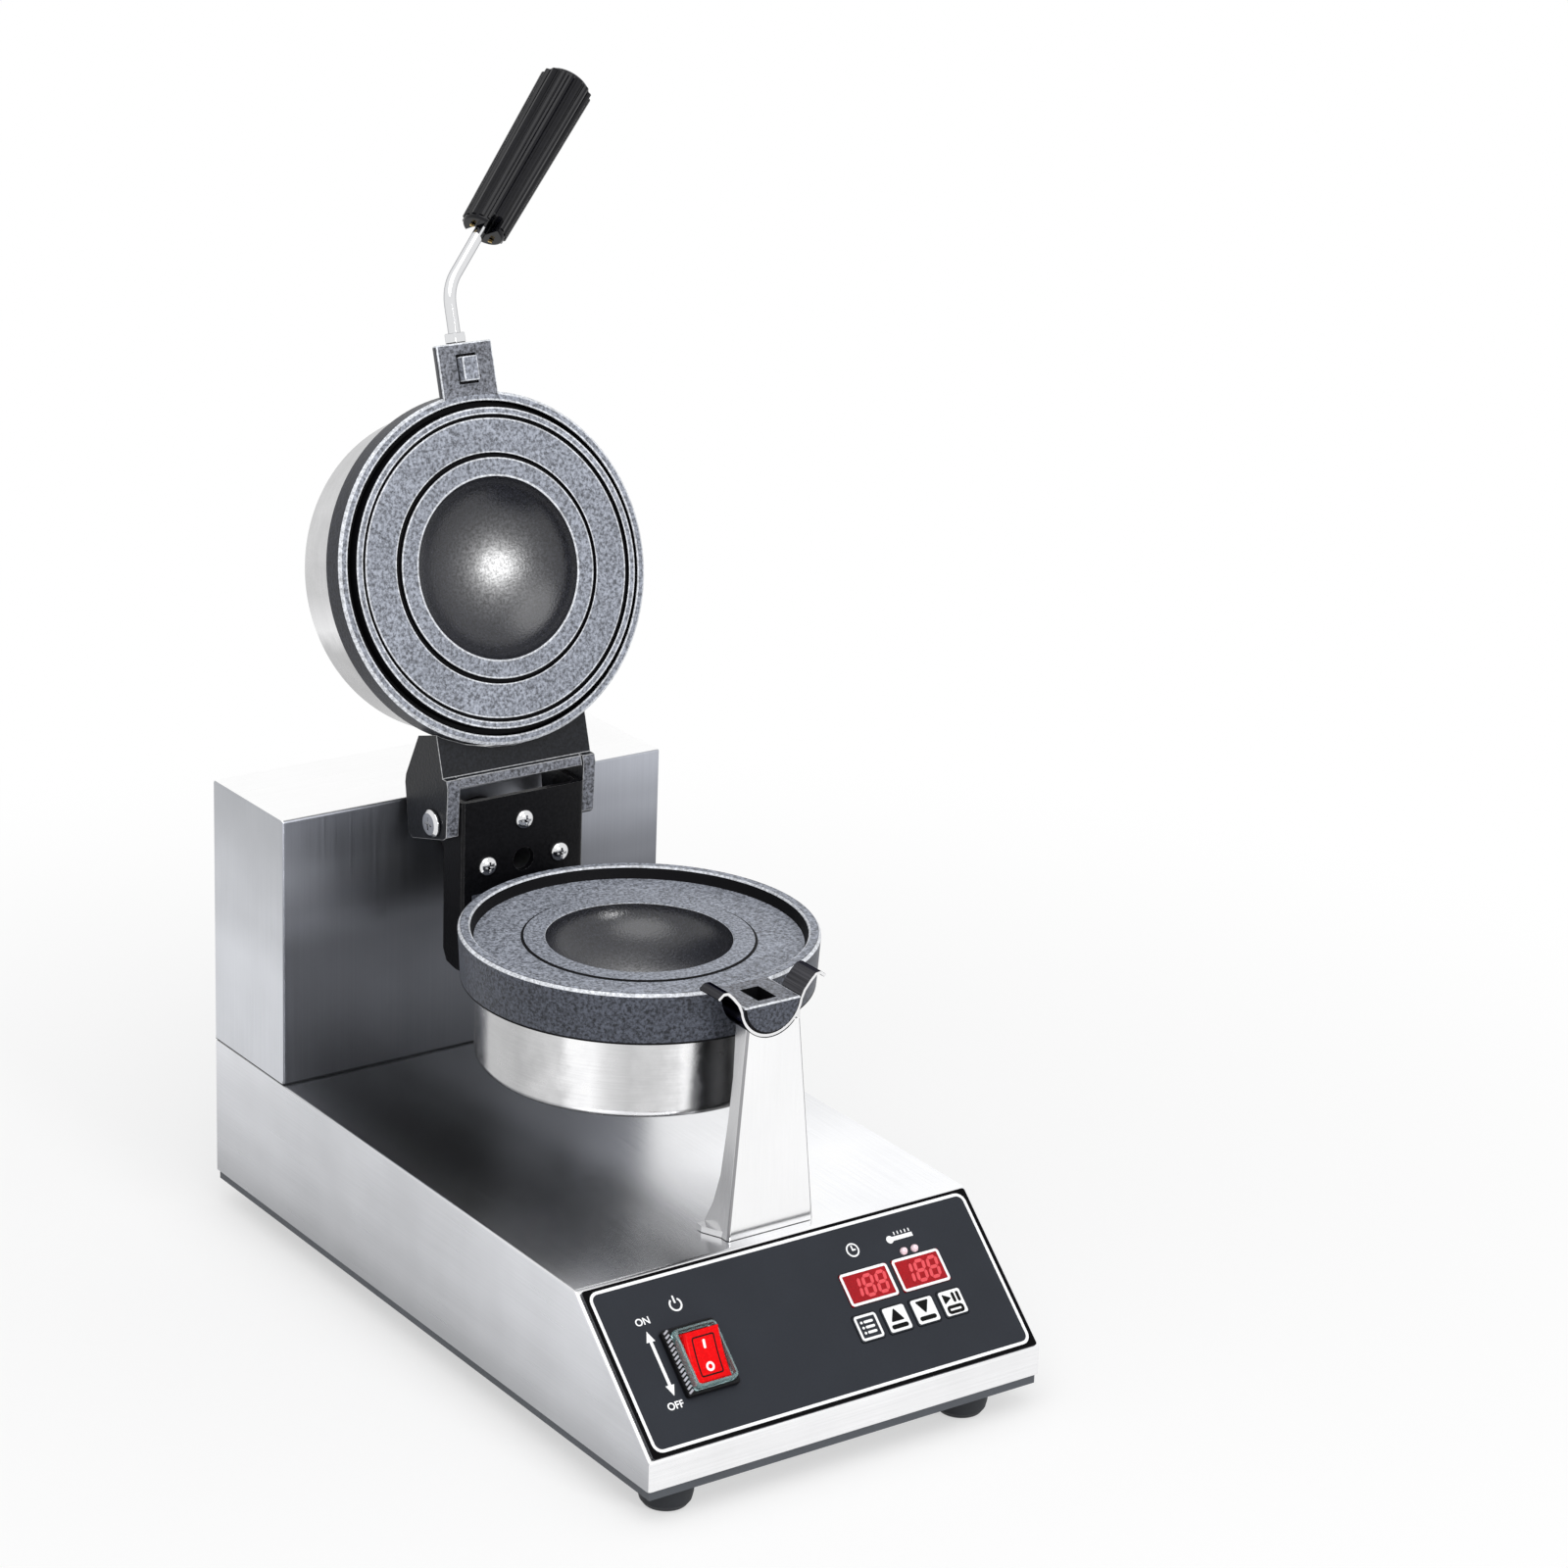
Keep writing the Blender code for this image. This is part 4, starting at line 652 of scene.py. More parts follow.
# The colour, the roughness, the grains in a metre, their contrast and their bump, and the gloss.
COATS = {
    "plate_coat": ((0.245, 0.262, 0.305), 0.50, 620, 0.62, 1.00, 0.30),
    # Painted shade and highlight: the rim coat and the lid's band are darker copies of the plate coat on
    # sides, walls and backs; the groove coat is black painted shade in grooves, pockets and under edges; the
    # edge coat is a painted highlight on eased edges; the hinge coat is the cast coat in painted shade; and
    # the cast edge is a painted highlight on the rounds of the black castings.
    "rim_coat": ((0.060, 0.066, 0.084), 0.46, 620, 0.70, 0.80, 0.25),
    "lid_band": ((0.024, 0.026, 0.034), 0.40, 620, 0.50, 0.50, 0.18),
    "groove_coat": ((0.003, 0.003, 0.004), 0.60, 900, 0.10, 0.05, 0.10),
    "edge_coat": ((0.62, 0.64, 0.68), 0.42, 620, 0.35, 0.40, 0.40),
    "lug_coat": ((0.14, 0.147, 0.170), 0.46, 620, 0.75, 0.50, 0.35),
    "hinge_coat": ((0.010, 0.011, 0.014), 0.40, 700, 0.45, 0.50, 0.20),
    "black_coat": ((0.004, 0.004, 0.005), 0.34, 600, 0.30, 0.30, 0.16),
    "cast_edge": ((0.36, 0.365, 0.38), 0.36, 700, 0.30, 0.20, 0.40),
    "grey_paint": ((0.075, 0.082, 0.094), 0.50, 1200, 0.06, 0.06, 0.30),
    "rubber": ((0.022, 0.024, 0.028), 0.62, 900, 0.12, 0.12, 0.25),
    "grip_plastic": ((0.004, 0.004, 0.006), 0.13, 500, 0.30, 0.05, 0.24),
    "black_plastic": ((0.005, 0.005, 0.006), 0.32, 700, 0.10, 0.06, 0.18),
    "board_green": ((0.020, 0.150, 0.060), 0.45, 300, 0.25, 0.10),
    "pale_plastic": ((0.60, 0.58, 0.50), 0.45, 400, 0.04, 0.04),
    "film": ((0.019, 0.022, 0.029), 0.42, 1500, 0.05, 0.03, 0.20),
    "film_edge": ((0.0015, 0.0015, 0.002), 0.50, 1500, 0.05, 0.03, 0.05),
    "white_ink": ((0.90, 0.91, 0.92), 0.50, 900, 0.02, 0.02, 0.20),
    "black_ink": ((0.003, 0.003, 0.003), 0.50, 900, 0.05, 0.02, 0.10),
    "display_red": ((0.33, 0.001, 0.006), 0.20, 1400, 0.20, 0.02, 0.25),
    "digit_red": ((0.74, 0.085, 0.10), 0.35, 1400, 0.06, 0.02, 0.25),
    "rocker_red": ((0.78, 0.001, 0.003), 0.26, 500, 0.08, 0.01, 0.12),
    "rib_grey": ((0.42, 0.42, 0.46), 0.35, 900, 0.15, 0.05),
}
for name, row in COATS.items():
    coating(name, *row)
coating("lamp_lens", (0.88, 0.68, 0.74), 0.10, 900, 0.12, 0.02, Coat_Weight=0.6)
coating("clear_plastic", (0.62, 0.84, 0.85), 0.05, 700, 0.05, 0.02, Transmission_Weight=0.85, IOR=1.49)
print("coats, plastics and inks:", len(COATS) + 2)

# %% [markdown]
# ### The bowls
# Each bowl's dark coat gets a painted highlight: a lighter middle, a painted glow that fades
# towards the edge. The distance from the bowl's lowest point drives it.

# %% Bowls
# The painted glow: its radius, and its stops of (part of the radius, tone).
GLOW_RADIUS, BOWL_GRAIN = 0.034, 800
GLOW_STOPS = [(0.0, 0.95), (0.16, 0.80), (0.32, 0.22), (0.55, 0.07), (0.80, 0.015), (1.0, 0.0)]


def bowl_finish(name, middle):
    """The dark coat of a bowl with a painted highlight, a lighter middle."""
    material = coating(name, (0.013, 0.014, 0.020), 0.24, BOWL_GRAIN, 0.60, 0.40, 0.70)
    tree = material.node_tree
    distance = measured(tree, "DISTANCE", object_place(tree), middle)
    light = toned(tree, distance, [(part * GLOW_RADIUS, tone) for part, tone in GLOW_STOPS], "B_SPLINE")
    speck = noise(tree, coordinates(tree), size=BOWL_GRAIN, detail=2.0, roughness=0.7)
    glow = scaled_colour(tree, light, varied(tree, speck, 0.45, 0.35, 0.65))
    dark = tree.nodes["Principled BSDF"].inputs["Base Color"].links[0].from_socket
    both = add_node(tree, "ShaderNodeVectorMath", {0: dark, 1: glow}, operation="ADD")
    set_link(material, "Base Color", both.outputs[0])


bowl_finish("lower_bowl_coat", (0, PLATE_Y, TURN_Z - 0.030))
# The upper bowl's painted glow sits off its middle, where the highlight falls.
bowl_finish("upper_bowl_coat", LID_HEAD @ Vector((0.0110, 0, 0.0200)))
print("finishes in all:", len(finishes))

# %% [markdown]
# ## The folded housing
# The base is one sheet of steel, folded into a low box with a sloped front. Real folds are round,
# so the outline is extruded and its edges get a bend of 1.6 mm. A second, smaller prism takes the
# inside away and leaves a wall of 1.2 mm. The brushing runs along the longest side of each
# face, so each face picks its own finish from the direction it looks in. These finishes are also
# lighter and darker copies of one steel, as painted light and shade.

# %% Folded boxes
def drawn_in(outline, distance):
    """A convex outline, counter-clockwise, with every side moved inwards."""
    lines = []
    for i, p in enumerate(outline):
        a, b = Vector(p), Vector(outline[(i + 1) % len(outline)])
        along = (b - a).normalized()
        lines.append((a + Vector((-along.y, along.x)) * distance, along))
    inner = []
    for (a, u), (b, v) in zip(lines[-1:] + lines[:-1], lines):
        run = ((b.x - a.x) * v.y - (b.y - a.y) * v.x) / (u.x * v.y - u.y * v.x)
        inner.append(tuple(a + u * run))
    return inner


def folded_shell(outline):
    """Folded sheet over a convex outline, counter-clockwise, whose lowest side stays open."""
    bottom = min(z for y, z in outline)
    box = prism(outline, -HALF_WIDTH, HALF_WIDTH)
    folds = [e for e in box.edges if max(v.co.z for v in e.verts) > bottom + 1e-4]
    rounded_edges(box, folds, BEND, 5)
    inside = [(y, z if z > bottom + 2 * SHEET else bottom - 0.010) for y, z in drawn_in(outline, SHEET)]
    return cut(box, prism(inside, SHEET - HALF_WIDTH, HALF_WIDTH - SHEET))


print("a unit square drawn in by a tenth:", drawn_in([(0, 0), (1, 0), (1, 1), (0, 1)], 0.1))

# %% The housing
# The two openings of the slope are (width, height, corner, steps of a corner).
SWITCH_HOLE, BOARD_HOLE = (0.0226, 0.0286, 0.001, 3), (0.0700, 0.0480, 0.002, 3)
BOARD_AT, WIRES_AT = (0.0500, 0.0425), (-0.060, 0.158, BASE_TOP)
WIRE_HOLE, GLAND_HOLE, SCREW_HOLE = 0.012, 0.0083, 0.0023
PUNCH, DRILL = (-0.006, 0.006), (-0.005, 0.005)
openings = [
    moved(prism(shifted(rounded(*SWITCH_HOLE), *SWITCH_AT), *PUNCH, "Z"), PANEL),
    moved(prism(shifted(rounded(*BOARD_HOLE), *BOARD_AT), *PUNCH, "Z"), PANEL),
    moved(cylinder(WIRE_HOLE, *DRILL), at(*WIRES_AT)),
    moved(cylinder(GLAND_HOLE, *DRILL), at(*GLAND_AT), ALONG_Y),
]
openings += [moved(cylinder(SCREW_HOLE, -0.004, 0.004, 16), at(x, y, BASE_TOP)) for x, y in POST_SCREWS]


def housing_face(normal, middle):
    if abs(normal.x) > 0.75:
        return 0
    return 1 if normal.z < 0.9 and middle.y < -0.13 else 2


housing = folded_shell([
    (FRONT_Y, HOUSING_BOTTOM), (BACK_Y, HOUSING_BOTTOM), (BACK_Y, BASE_TOP),
    (FRONT_Y + SLOPE_RUN, BASE_TOP), (FRONT_Y, LIP_TOP)])
housing = choose_finish(cut(housing, *openings), housing_face)
piece("housing_shell", housing, "side_steel lip_steel top_steel", "base", "brushed_steel", "base_housing")

# %% [markdown]
# ## The tower and its vents
# The tower is folded in the same way and stands on the base with a hair's gap, which a thin dark
# strip fills as painted shade. Its back has two columns of slots that let the heat out. A slot
# repeats ten times, so Geometry Nodes lay one round-ended bar on a grid, and the whole grid cuts the
# sheet at once. Its front gets a dark steel as a painted reflection, and its top a light one as
# painted light.

# %% Trees of nodes
def new_tree(name, inputs):
    """A node group with named inputs, and the outputs of its input node."""
    tree = bpy.data.node_groups.new(name, "GeometryNodeTree")
    tree.interface.new_socket("Geometry", in_out="INPUT", socket_type="NodeSocketGeometry")
    for label, (kind, value) in inputs.items():
        socket = tree.interface.new_socket(label, in_out="INPUT", socket_type=f"NodeSocket{kind}")
        if value is not None:
            socket.default_value = value
    tree.interface.new_socket("Geometry", in_out="OUTPUT", socket_type="NodeSocketGeometry")
    return tree, add_node(tree, "NodeGroupInput").outputs


def vector(tree, x=0.0, y=0.0, z=0.0):
    return add_node(tree, "ShaderNodeCombineXYZ", {0: x, 1: y, 2: z}).outputs[0]


def transformed(tree, geometry, **change):
    return add_node(tree, "GeometryNodeTransform", {"Geometry": geometry, **change}).outputs[0]


def attribute(tree, name):
    """A vector that each point carries."""
    carried = add_node(tree, "GeometryNodeInputNamedAttribute", {"Name": name}, data_type="FLOAT_VECTOR")
    return carried.outputs["Attribute"]


def end_tree(tree, points, shape, material, **turned_by):
    """End a tree: set a shape on points, make the copies real and give them their material."""
    values = {"Points": points, "Instance": shape, **turned_by}
    copies = add_node(tree, "GeometryNodeInstanceOnPoints", values).outputs[0]
    real = add_node(tree, "GeometryNodeRealizeInstances", {"Geometry": copies}).outputs[0]
    last = add_node(tree, "GeometryNodeSetMaterial", {"Geometry": real, "Material": material}).outputs[0]
    add_node(tree, "NodeGroupOutput", {"Geometry": last})
    print(tree.name, "tree:", len(tree.nodes), "nodes")


def grown(tree, start, **values):
    """Run a tree on a start mesh with these input values and return the result as a bmesh."""
    seed = as_object(start, "seed")
    modifier = seed.modifiers.new("grow", "NODES")
    modifier.node_group = tree
    for item in tree.interface.items_tree:
        if item.in_out == "INPUT" and item.name.replace(" ", "_") in values:
            modifier[item.identifier] = values[item.name.replace(" ", "_")]
    mesh = evaluated(seed)
    seed.modifiers.clear()
    bpy.data.objects.remove(seed)
    return taken_in(mesh)


# %% A tree of vent slots
vent_tree, given = new_tree("vent_slots", {
    "Length": ("Float", 0.036), "Height": ("Float", 0.004), "Depth": ("Float", 0.012),
    "Finish": ("Material", None),
})
bar_size = vector(vent_tree, given["Length"], given["Depth"], given["Height"])
bar = add_node(vent_tree, "GeometryNodeMeshCube", {"Size": bar_size}).outputs["Mesh"]
end_radius = product(vent_tree, given["Height"], 0.5)
bar_end = add_node(vent_tree, "GeometryNodeMeshCylinder", {
    "Vertices": 24, "Radius": end_radius, "Depth": given["Depth"]}).outputs["Mesh"]
slot = add_node(vent_tree, "GeometryNodeMeshBoolean", operation="UNION")
vent_tree.links.new(bar, slot.inputs["Mesh 2"])
for side in (-0.5, 0.5):
    offset = vector(vent_tree, product(vent_tree, given["Length"], side))
    placed = transformed(vent_tree, bar_end, Translation=offset, Rotation=(pi / 2, 0, 0))
    vent_tree.links.new(placed, slot.inputs["Mesh 2"])
end_tree(vent_tree, given["Geometry"], slot.outputs["Mesh"], given["Finish"])

# %% The tower
VENT_COLUMNS, VENT_ROWS, VENT_LOW, VENT_PITCH = (-0.045, 0.045), 5, 0.130, 0.012
SHAFT_HOLE = 0.0183
slots = bmesh.new()
for column in VENT_COLUMNS:
    for row in range(VENT_ROWS):
        slots.verts.new((column, BACK_Y - 0.001, VENT_LOW + VENT_PITCH * row))
slots = grown(vent_tree, slots, Length=0.032, Height=0.004, Depth=0.012, Finish=finishes["top_steel"])


def tower_face(normal, middle):
    if normal.z > 0.75:
        return 2
    return 1 if normal.y < -0.75 and middle.y < 0.13 else 0


tower = folded_shell([
    (TOWER_FRONT, BASE_TOP + SEAM), (BACK_Y, BASE_TOP + SEAM), (BACK_Y, TOWER_TOP), (TOWER_FRONT, TOWER_TOP)])
opening = moved(cylinder(SHAFT_HOLE, -0.004, 0.008, 64), at(0, TOWER_FRONT, TURN_Z), ALONG_Y)
tower = choose_finish(cut(tower, opening, slots), tower_face)
piece("tower_shell", tower, "tower_side_steel tower_front_steel tower_top_steel",
      "base", "brushed_steel", "tower_cover")

# %% The dark strip in the seam, as painted shade
INSET = 0.0004
outer, inner = HALF_WIDTH - INSET, HALF_WIDTH - SHEET - GAP
# A dark strip between tower and base stands for the shade in the seam.
seam_shade = block(
    (-outer, outer), (TOWER_FRONT + INSET, BACK_Y - INSET), (BASE_TOP + 0.0001, BASE_TOP + SEAM + SHEET))
hollow = block((-inner, inner), (TOWER_FRONT + SHEET + GAP, BACK_Y - SHEET - GAP), (0.080, 0.100))
piece("seam_gasket", cut(seam_shade, hollow), "rubber", "base", "black_rubber")

# %% [markdown]
# ## Feet and the cable gland
# Four rubber feet carry the machine. They are one profile, spun once and set at four points by a
# small tree, which later also sets the segments of the digits and the ribs of the switch. The
# gland in the back wall is a turned body with a six-sided nut.

# %% A tree that sets copies of a shape
copy_tree, given = new_tree("copies", {"Shape": ("Object", None), "Finish": ("Material", None)})
shape = add_node(copy_tree, "GeometryNodeObjectInfo", {"Object": given["Shape"]}).outputs["Geometry"]
end_tree(copy_tree, given["Geometry"], shape, given["Finish"], Rotation=attribute(copy_tree, "turn"))


def marked_points(label, places):
    """Points at (place, direction or turn) pairs, as the start of a tree."""
    points = bmesh.new()
    layer = points.verts.layers.float_vector.new(label)
    for place, value in places:
        points.verts.new(place)[layer] = Vector(value)
    return points


def copied(shape, places, finish_name):
    """Copies of a bmesh at (place, turn) pairs, as one bmesh."""
    model = as_object(shape, "model")
    result = grown(copy_tree, marked_points("turn", places), Shape=model, Finish=finishes[finish_name])
    bpy.data.objects.remove(model)
    return result


# %% Feet
FEET = {
    "foot_front_left": (-0.0895, -0.1905, 0), "foot_front_right": (0.0775, -0.1895, 0),
    "foot_back_left": (-0.076, 0.163, 0), "foot_back_right": (0.076, 0.163, 0),
}
NO_TURN = (0, 0, 0)
profile = [(0, 0.0015), (0.0040, 0.0015), (0.0044, 0), (0.0075, 0), (0.0102, 0.0010), (0.0120, 0.0035)]
profile += [(0.0128, 0.0070), (0.0128, 0.0127), (0, 0.0127)]
feet = copied(turned(eased(profile, 0.0008, 4), 64), [(place, NO_TURN) for place in FEET.values()], "rubber")
piece("rubber_feet", feet, "rubber", "base", "black_rubber", *FEET)

# %% Cable gland
def six_sided_nut(radius, low, high, bore):
    points = [(radius * cos(pi * k / 3), radius * sin(pi * k / 3)) for k in range(6)]
    return cut(softened(prism(points, low, high, "Z"), 0.0005), cylinder(bore, -0.02, 0.02))


gland = turned(eased([
    (0.0045, -0.012), (0.0080, -0.012), (0.0080, 0.0065), (0.0100, 0.0068), (0.0092, 0.0115),
    (0.0072, 0.0143), (0.0045, 0.0143)], 0.0008, 3), 64)
gland = moved(joined(gland, six_sided_nut(0.0110, GAP, 0.0066, 0.0078)), at(*GLAND_AT), ALONG_Y)
piece("gland_body", gland, "black_plastic", "base", "black_plastic", "cable_gland")

# %% [markdown]
# ## The front post and its cradle
# The post is a folded channel of polished steel that flares out at its foot. It is lofted through
# a few levels, and its front corners are round so that they catch a line of light; they are also
# painted darker as shade, and its flanges get a darker steel than its front, as painted shade. The
# cradle on top is a bent strip: a half ring in which the lug turns, with an ear on each side that
# hooks over. The strip is painted dark as a reflection, with its cut edges painted light as a
# highlight.

# %% Post
# Levels of (height, depth); the half width shrinks evenly from the foot to the top.
POST_LEVELS = [
    (POST_FOOT, 0.0205), (0.0945, 0.0190), (0.1045, 0.0140), (0.1190, 0.0103), (0.1450, 0.0085),
    (0.1670, 0.0078), (0.1920, 0.0095),
]
POST_SHEET, HALF_FOOT, TAPER, CORNER = 0.0015, 0.0242, 0.0094, 0.0016
FOOT_EDGE, FOOT_TOP, FLARE_EDGE, FLARE_TOP = 0.0232, 0.0918, 0.0287, 0.0933
CRADLE_HOLE = 0.0177


def post_shape(inset, reach):
    """The post's solid with its faces moved in, and its back and both ends moved out by reach."""
    low_z, high_z = POST_LEVELS[0][0], POST_LEVELS[-1][0]
    rings = []
    for z, depth in POST_LEVELS:
        t = (z - low_z) / (high_z - low_z)
        half, line = HALF_FOOT - TAPER * t - inset, POST_FRONT + POST_LEAN * t
        front, back = line + inset, line + depth + reach
        level = z + reach * ((z == high_z) - (z == low_z))
        corner = max(CORNER - inset, 0.0003)
        outline = arc((POST_X - half + corner, front + corner), corner, 180, 270, 5)
        outline += arc((POST_X + half - corner, front + corner), corner, 270, 360, 5)
        outline += [(POST_X + half, back), (POST_X - half, back)]
        rings.append([(x, y, level) for x, y in outline])
    return lofted(rings)


# The post's front, flanges and folds get lighter and darker copies of one steel, as painted light and shade.
def post_face(normal, middle):
    if abs(normal.x) > 0.92:
        return 1
    return 2 if abs(normal.x) > 0.35 and normal.y < -0.3 and middle.y < POST_FRONT + 0.006 else 0


foot_back = POST_FRONT + 0.019
foot_plate = block(
    (POST_X - FOOT_EDGE, POST_X + FOOT_EDGE), (POST_FRONT + 0.001, foot_back), (POST_FOOT, FOOT_TOP))
post = welded(cut(post_shape(0, 0), post_shape(POST_SHEET, 0.010)), foot_plate)
for side, (x, y) in zip((-1, 1), POST_SCREWS):
    near, far = POST_X + side * FOOT_EDGE, POST_X + side * FLARE_EDGE
    flare = [(near, POST_FRONT + 0.003), (far, POST_FRONT + 0.015), (far, foot_back), (near, foot_back)]
    post = welded(post, prism(flare[::side], POST_FOOT, FLARE_TOP, "Z"))
    post = cut(post, moved(cylinder(SCREW_HOLE, -0.01, 0.01, 24), at(x, y, POST_FOOT)))
post = cut(post, moved(cylinder(CRADLE_HOLE, -0.02, 0.06, 96), at(0, POST_FRONT, TURN_Z), ALONG_Y))
choose_finish(post, post_face)
piece("post_channel", post, "post_steel flange_steel fold_steel", "base", "polished_steel", "front_post")

# %% Cradle
HALF_STRIP, STRIP_INSIDE, STRIP_DEPTH = 0.00075, 0.0159, 0.0155
bend = arc((0, 0), STRIP_INSIDE + HALF_STRIP, 270, 352, 20)
bend += [(0.0182, 0.0015), (0.0215, 0.0055), (0.0243, 0.0082), (0.0268, 0.0084), (0.0296, 0.0062)]
bend = eased([(-x, z) for x, z in reversed(bend[1:])] + bend, 0.0012, 3)
upper_side, lower_side = [], []
for i, (x, z) in enumerate(bend):
    run = Vector(bend[min(i + 1, len(bend) - 1)]) - Vector(bend[max(i - 1, 0)])
    step = Vector((-run.y, run.x)).normalized() * HALF_STRIP
    upper_side.append((x + step.x, z + step.y + TURN_Z))
    lower_side.append((x - step.x, z - step.y + TURN_Z))
strip_front = POST_FRONT + POST_LEAN
strip = prism(lower_side + upper_side[::-1], strip_front, strip_front + STRIP_DEPTH, "Y")
# The strip's faces get the painted dark reflection, its cut edges the painted highlight.
strip = choose_finish(softened(strip, 0.0003, 2, 50), lambda normal, middle: 1 if abs(normal.y) > 0.5 else 0)
piece("cradle_strip", strip, "strip_steel strip_edge", "base", "polished_steel", "cradle")

# %% [markdown]
# ## Cross-head screws
# The same kind of screw head holds the post, the cups, the yoke and the grip. One tree makes them
# all: a flattened dome, less a cross of two bars, is set on points that carry a `facing` direction.
# Each body gets its own call, because a mesh can ride on one body only.

# %% The screw tree
screw_tree, given = new_tree("screw_heads", {
    "Head Radius": ("Float", 0.0045), "Head Height": ("Float", 0.0022), "Cross Width": ("Float", 0.0010),
    "Cross Length": ("Float", 0.0046), "Finish": ("Material", None),
})
ball = add_node(screw_tree, "GeometryNodeMeshUVSphere", {"Segments": 40, "Rings": 20, "Radius": 1.0})
squeeze = vector(screw_tree, given["Head Radius"], given["Head Radius"], given["Head Height"])
dome = transformed(screw_tree, ball.outputs["Mesh"], Scale=squeeze)
head = add_node(screw_tree, "GeometryNodeMeshBoolean", {"Mesh 1": dome}, operation="DIFFERENCE")
lift = vector(screw_tree, z=given["Head Height"])
cross_depth = product(screw_tree, given["Head Height"], 1.1)
for across, along in (("Cross Length", "Cross Width"), ("Cross Width", "Cross Length")):
    bar_size = vector(screw_tree, given[across], given[along], cross_depth)
    bar = add_node(screw_tree, "GeometryNodeMeshCube", {"Size": bar_size}).outputs["Mesh"]
    screw_tree.links.new(transformed(screw_tree, bar, Translation=lift), head.inputs["Mesh 2"])
way = {"Vector": attribute(screw_tree, "facing")}
turn = add_node(screw_tree, "FunctionNodeAlignRotationToVector", way, axis="Z")
end_tree(screw_tree, given["Geometry"], head.outputs["Mesh"], given["Finish"], Rotation=turn.outputs[0])


def screw_heads(places, metal, radius, height, cross=0.22):
    """Screw heads at (place, facing) pairs; cross is the cross's width in head radii."""
    return grown(
        screw_tree, marked_points("facing", places), Head_Radius=radius, Head_Height=height,
        Cross_Width=cross * radius, Cross_Length=1.05 * radius, Finish=finishes[metal])


# %% Screws of the base
places = [((x, y, 0.0920), (0, 0, 1)) for x, y in POST_SCREWS]
piece("post_screw_heads", screw_heads(places, "bright_steel", 0.0042, 0.0024), "bright_steel",
      "base", "plain_steel", "post_screw_left", "post_screw_right")

# %% [markdown]
# ## The lower plate
# A casting, turned in profile: outside a tapering band, on top a flat rim, then a wall down to a
# sunk floor, a shallow step and the bowl. Corners are eased in the profile, so that every edge is
# a small round. The half-round lug in front has a pocket for the lid's tongue, and a web behind
# carries the plate on the yoke.

# %% Shapes that both plates share
# The coats in order: the plate's own coat, a darker copy as painted shade on sides and walls, the bowl, black
# painted shade in grooves and pockets, a painted highlight on eased edges, and the lug's flat face.
FLAT, SHADED_SIDE, BOWL, PAINTED_SHADE, EDGE_HIGHLIGHT, LUG_TOP = range(6)
BOWL_RADIUS, BOWL_OUTSIDE = 0.0445, 0.0505


def bowl_curve(radius, depth, start, steps=20):
    """Profile of a bowl from its edge to its middle; depth may be negative."""
    angles = [pi / 2 * i / steps for i in range(steps)]
    return [(radius * cos(a), start + depth * sin(a)) for a in angles] + [(0.0, start + depth)]


def lug_shape(below, width):
    """Half of a round lug below or above the parting plane: softened edges in painted highlight, sides in
    painted shade.
    """
    edge = degrees(asin(GAP / LUG_RADIUS))
    start, end = (180 + edge, 360 - edge) if below else (edge, 180 - edge)
    outline = shifted(arc((0, 0), LUG_RADIUS, start, end, 28), 0, TURN_Z)
    flat_side = 0.9 if below else -0.9
    lug = choose_finish(
        prism(outline, LUG_FRONT, LUG_BACK, "Y"),
        lambda normal, middle: LUG_TOP if normal.z / flat_side > 1 else SHADED_SIDE)
    return softened(lug, width, 2, 50, EDGE_HIGHLIGHT)


print("half a lug has", len(lug_shape(True, 0.0008).faces), "faces")

# %% Lower plate
LOWER_BAND, FLOOR_LEVEL, UNDER = 0.026, -0.0063, -0.0130
# From under the bowl, round the band and the rim, over the floor and down into the bowl.
section = [
    *bowl_curve(BOWL_OUTSIDE, -0.0245, UNDER)[::-1], (0.0785, UNDER), (0.0795, UNDER - 0.001),
    (0.0795, -LOWER_BAND), (0.0845, -LOWER_BAND), (0.0846, 0.0012 - LOWER_BAND), (0.0860, -0.0016),
    (0.0848, -GAP), (0.0806, -GAP), (0.0800, -0.0012), (0.0785, FLOOR_LEVEL), (0.0560, FLOOR_LEVEL),
    (0.0550, FLOOR_LEVEL + 0.0006), (0.0452, FLOOR_LEVEL + 0.0006),
    *bowl_curve(BOWL_RADIUS, -0.0240, FLOOR_LEVEL + 0.0001),
]


def lower_face(normal, middle):
    """Which coat a face of the lower plate gets, by its distance from the axis and its depth."""
    distance, depth = hypot(middle.x, middle.y - PLATE_Y), TURN_Z - middle.z
    if distance < 0.0452 and depth > 0.0060:
        return BOWL if distance < 0.0446 else EDGE_HIGHLIGHT
    if depth < 0.0020 and (distance > 0.0848 or 0.0802 < distance < 0.0810):
        return EDGE_HIGHLIGHT
    in_groove = 0.0546 < distance < 0.0566 or 0.0782 < distance < 0.0802
    if depth > LOWER_BAND - 0.0011 or (depth < 0.0075 and in_groove):
        return PAINTED_SHADE
    return SHADED_SIDE if distance > 0.0846 or normal.z < 0.3 else FLAT


plate = choose_finish(moved(turned(eased(section, 0.0006, 3), 144), HEAD), lower_face)
lug = lug_shape(True, 0.0008)
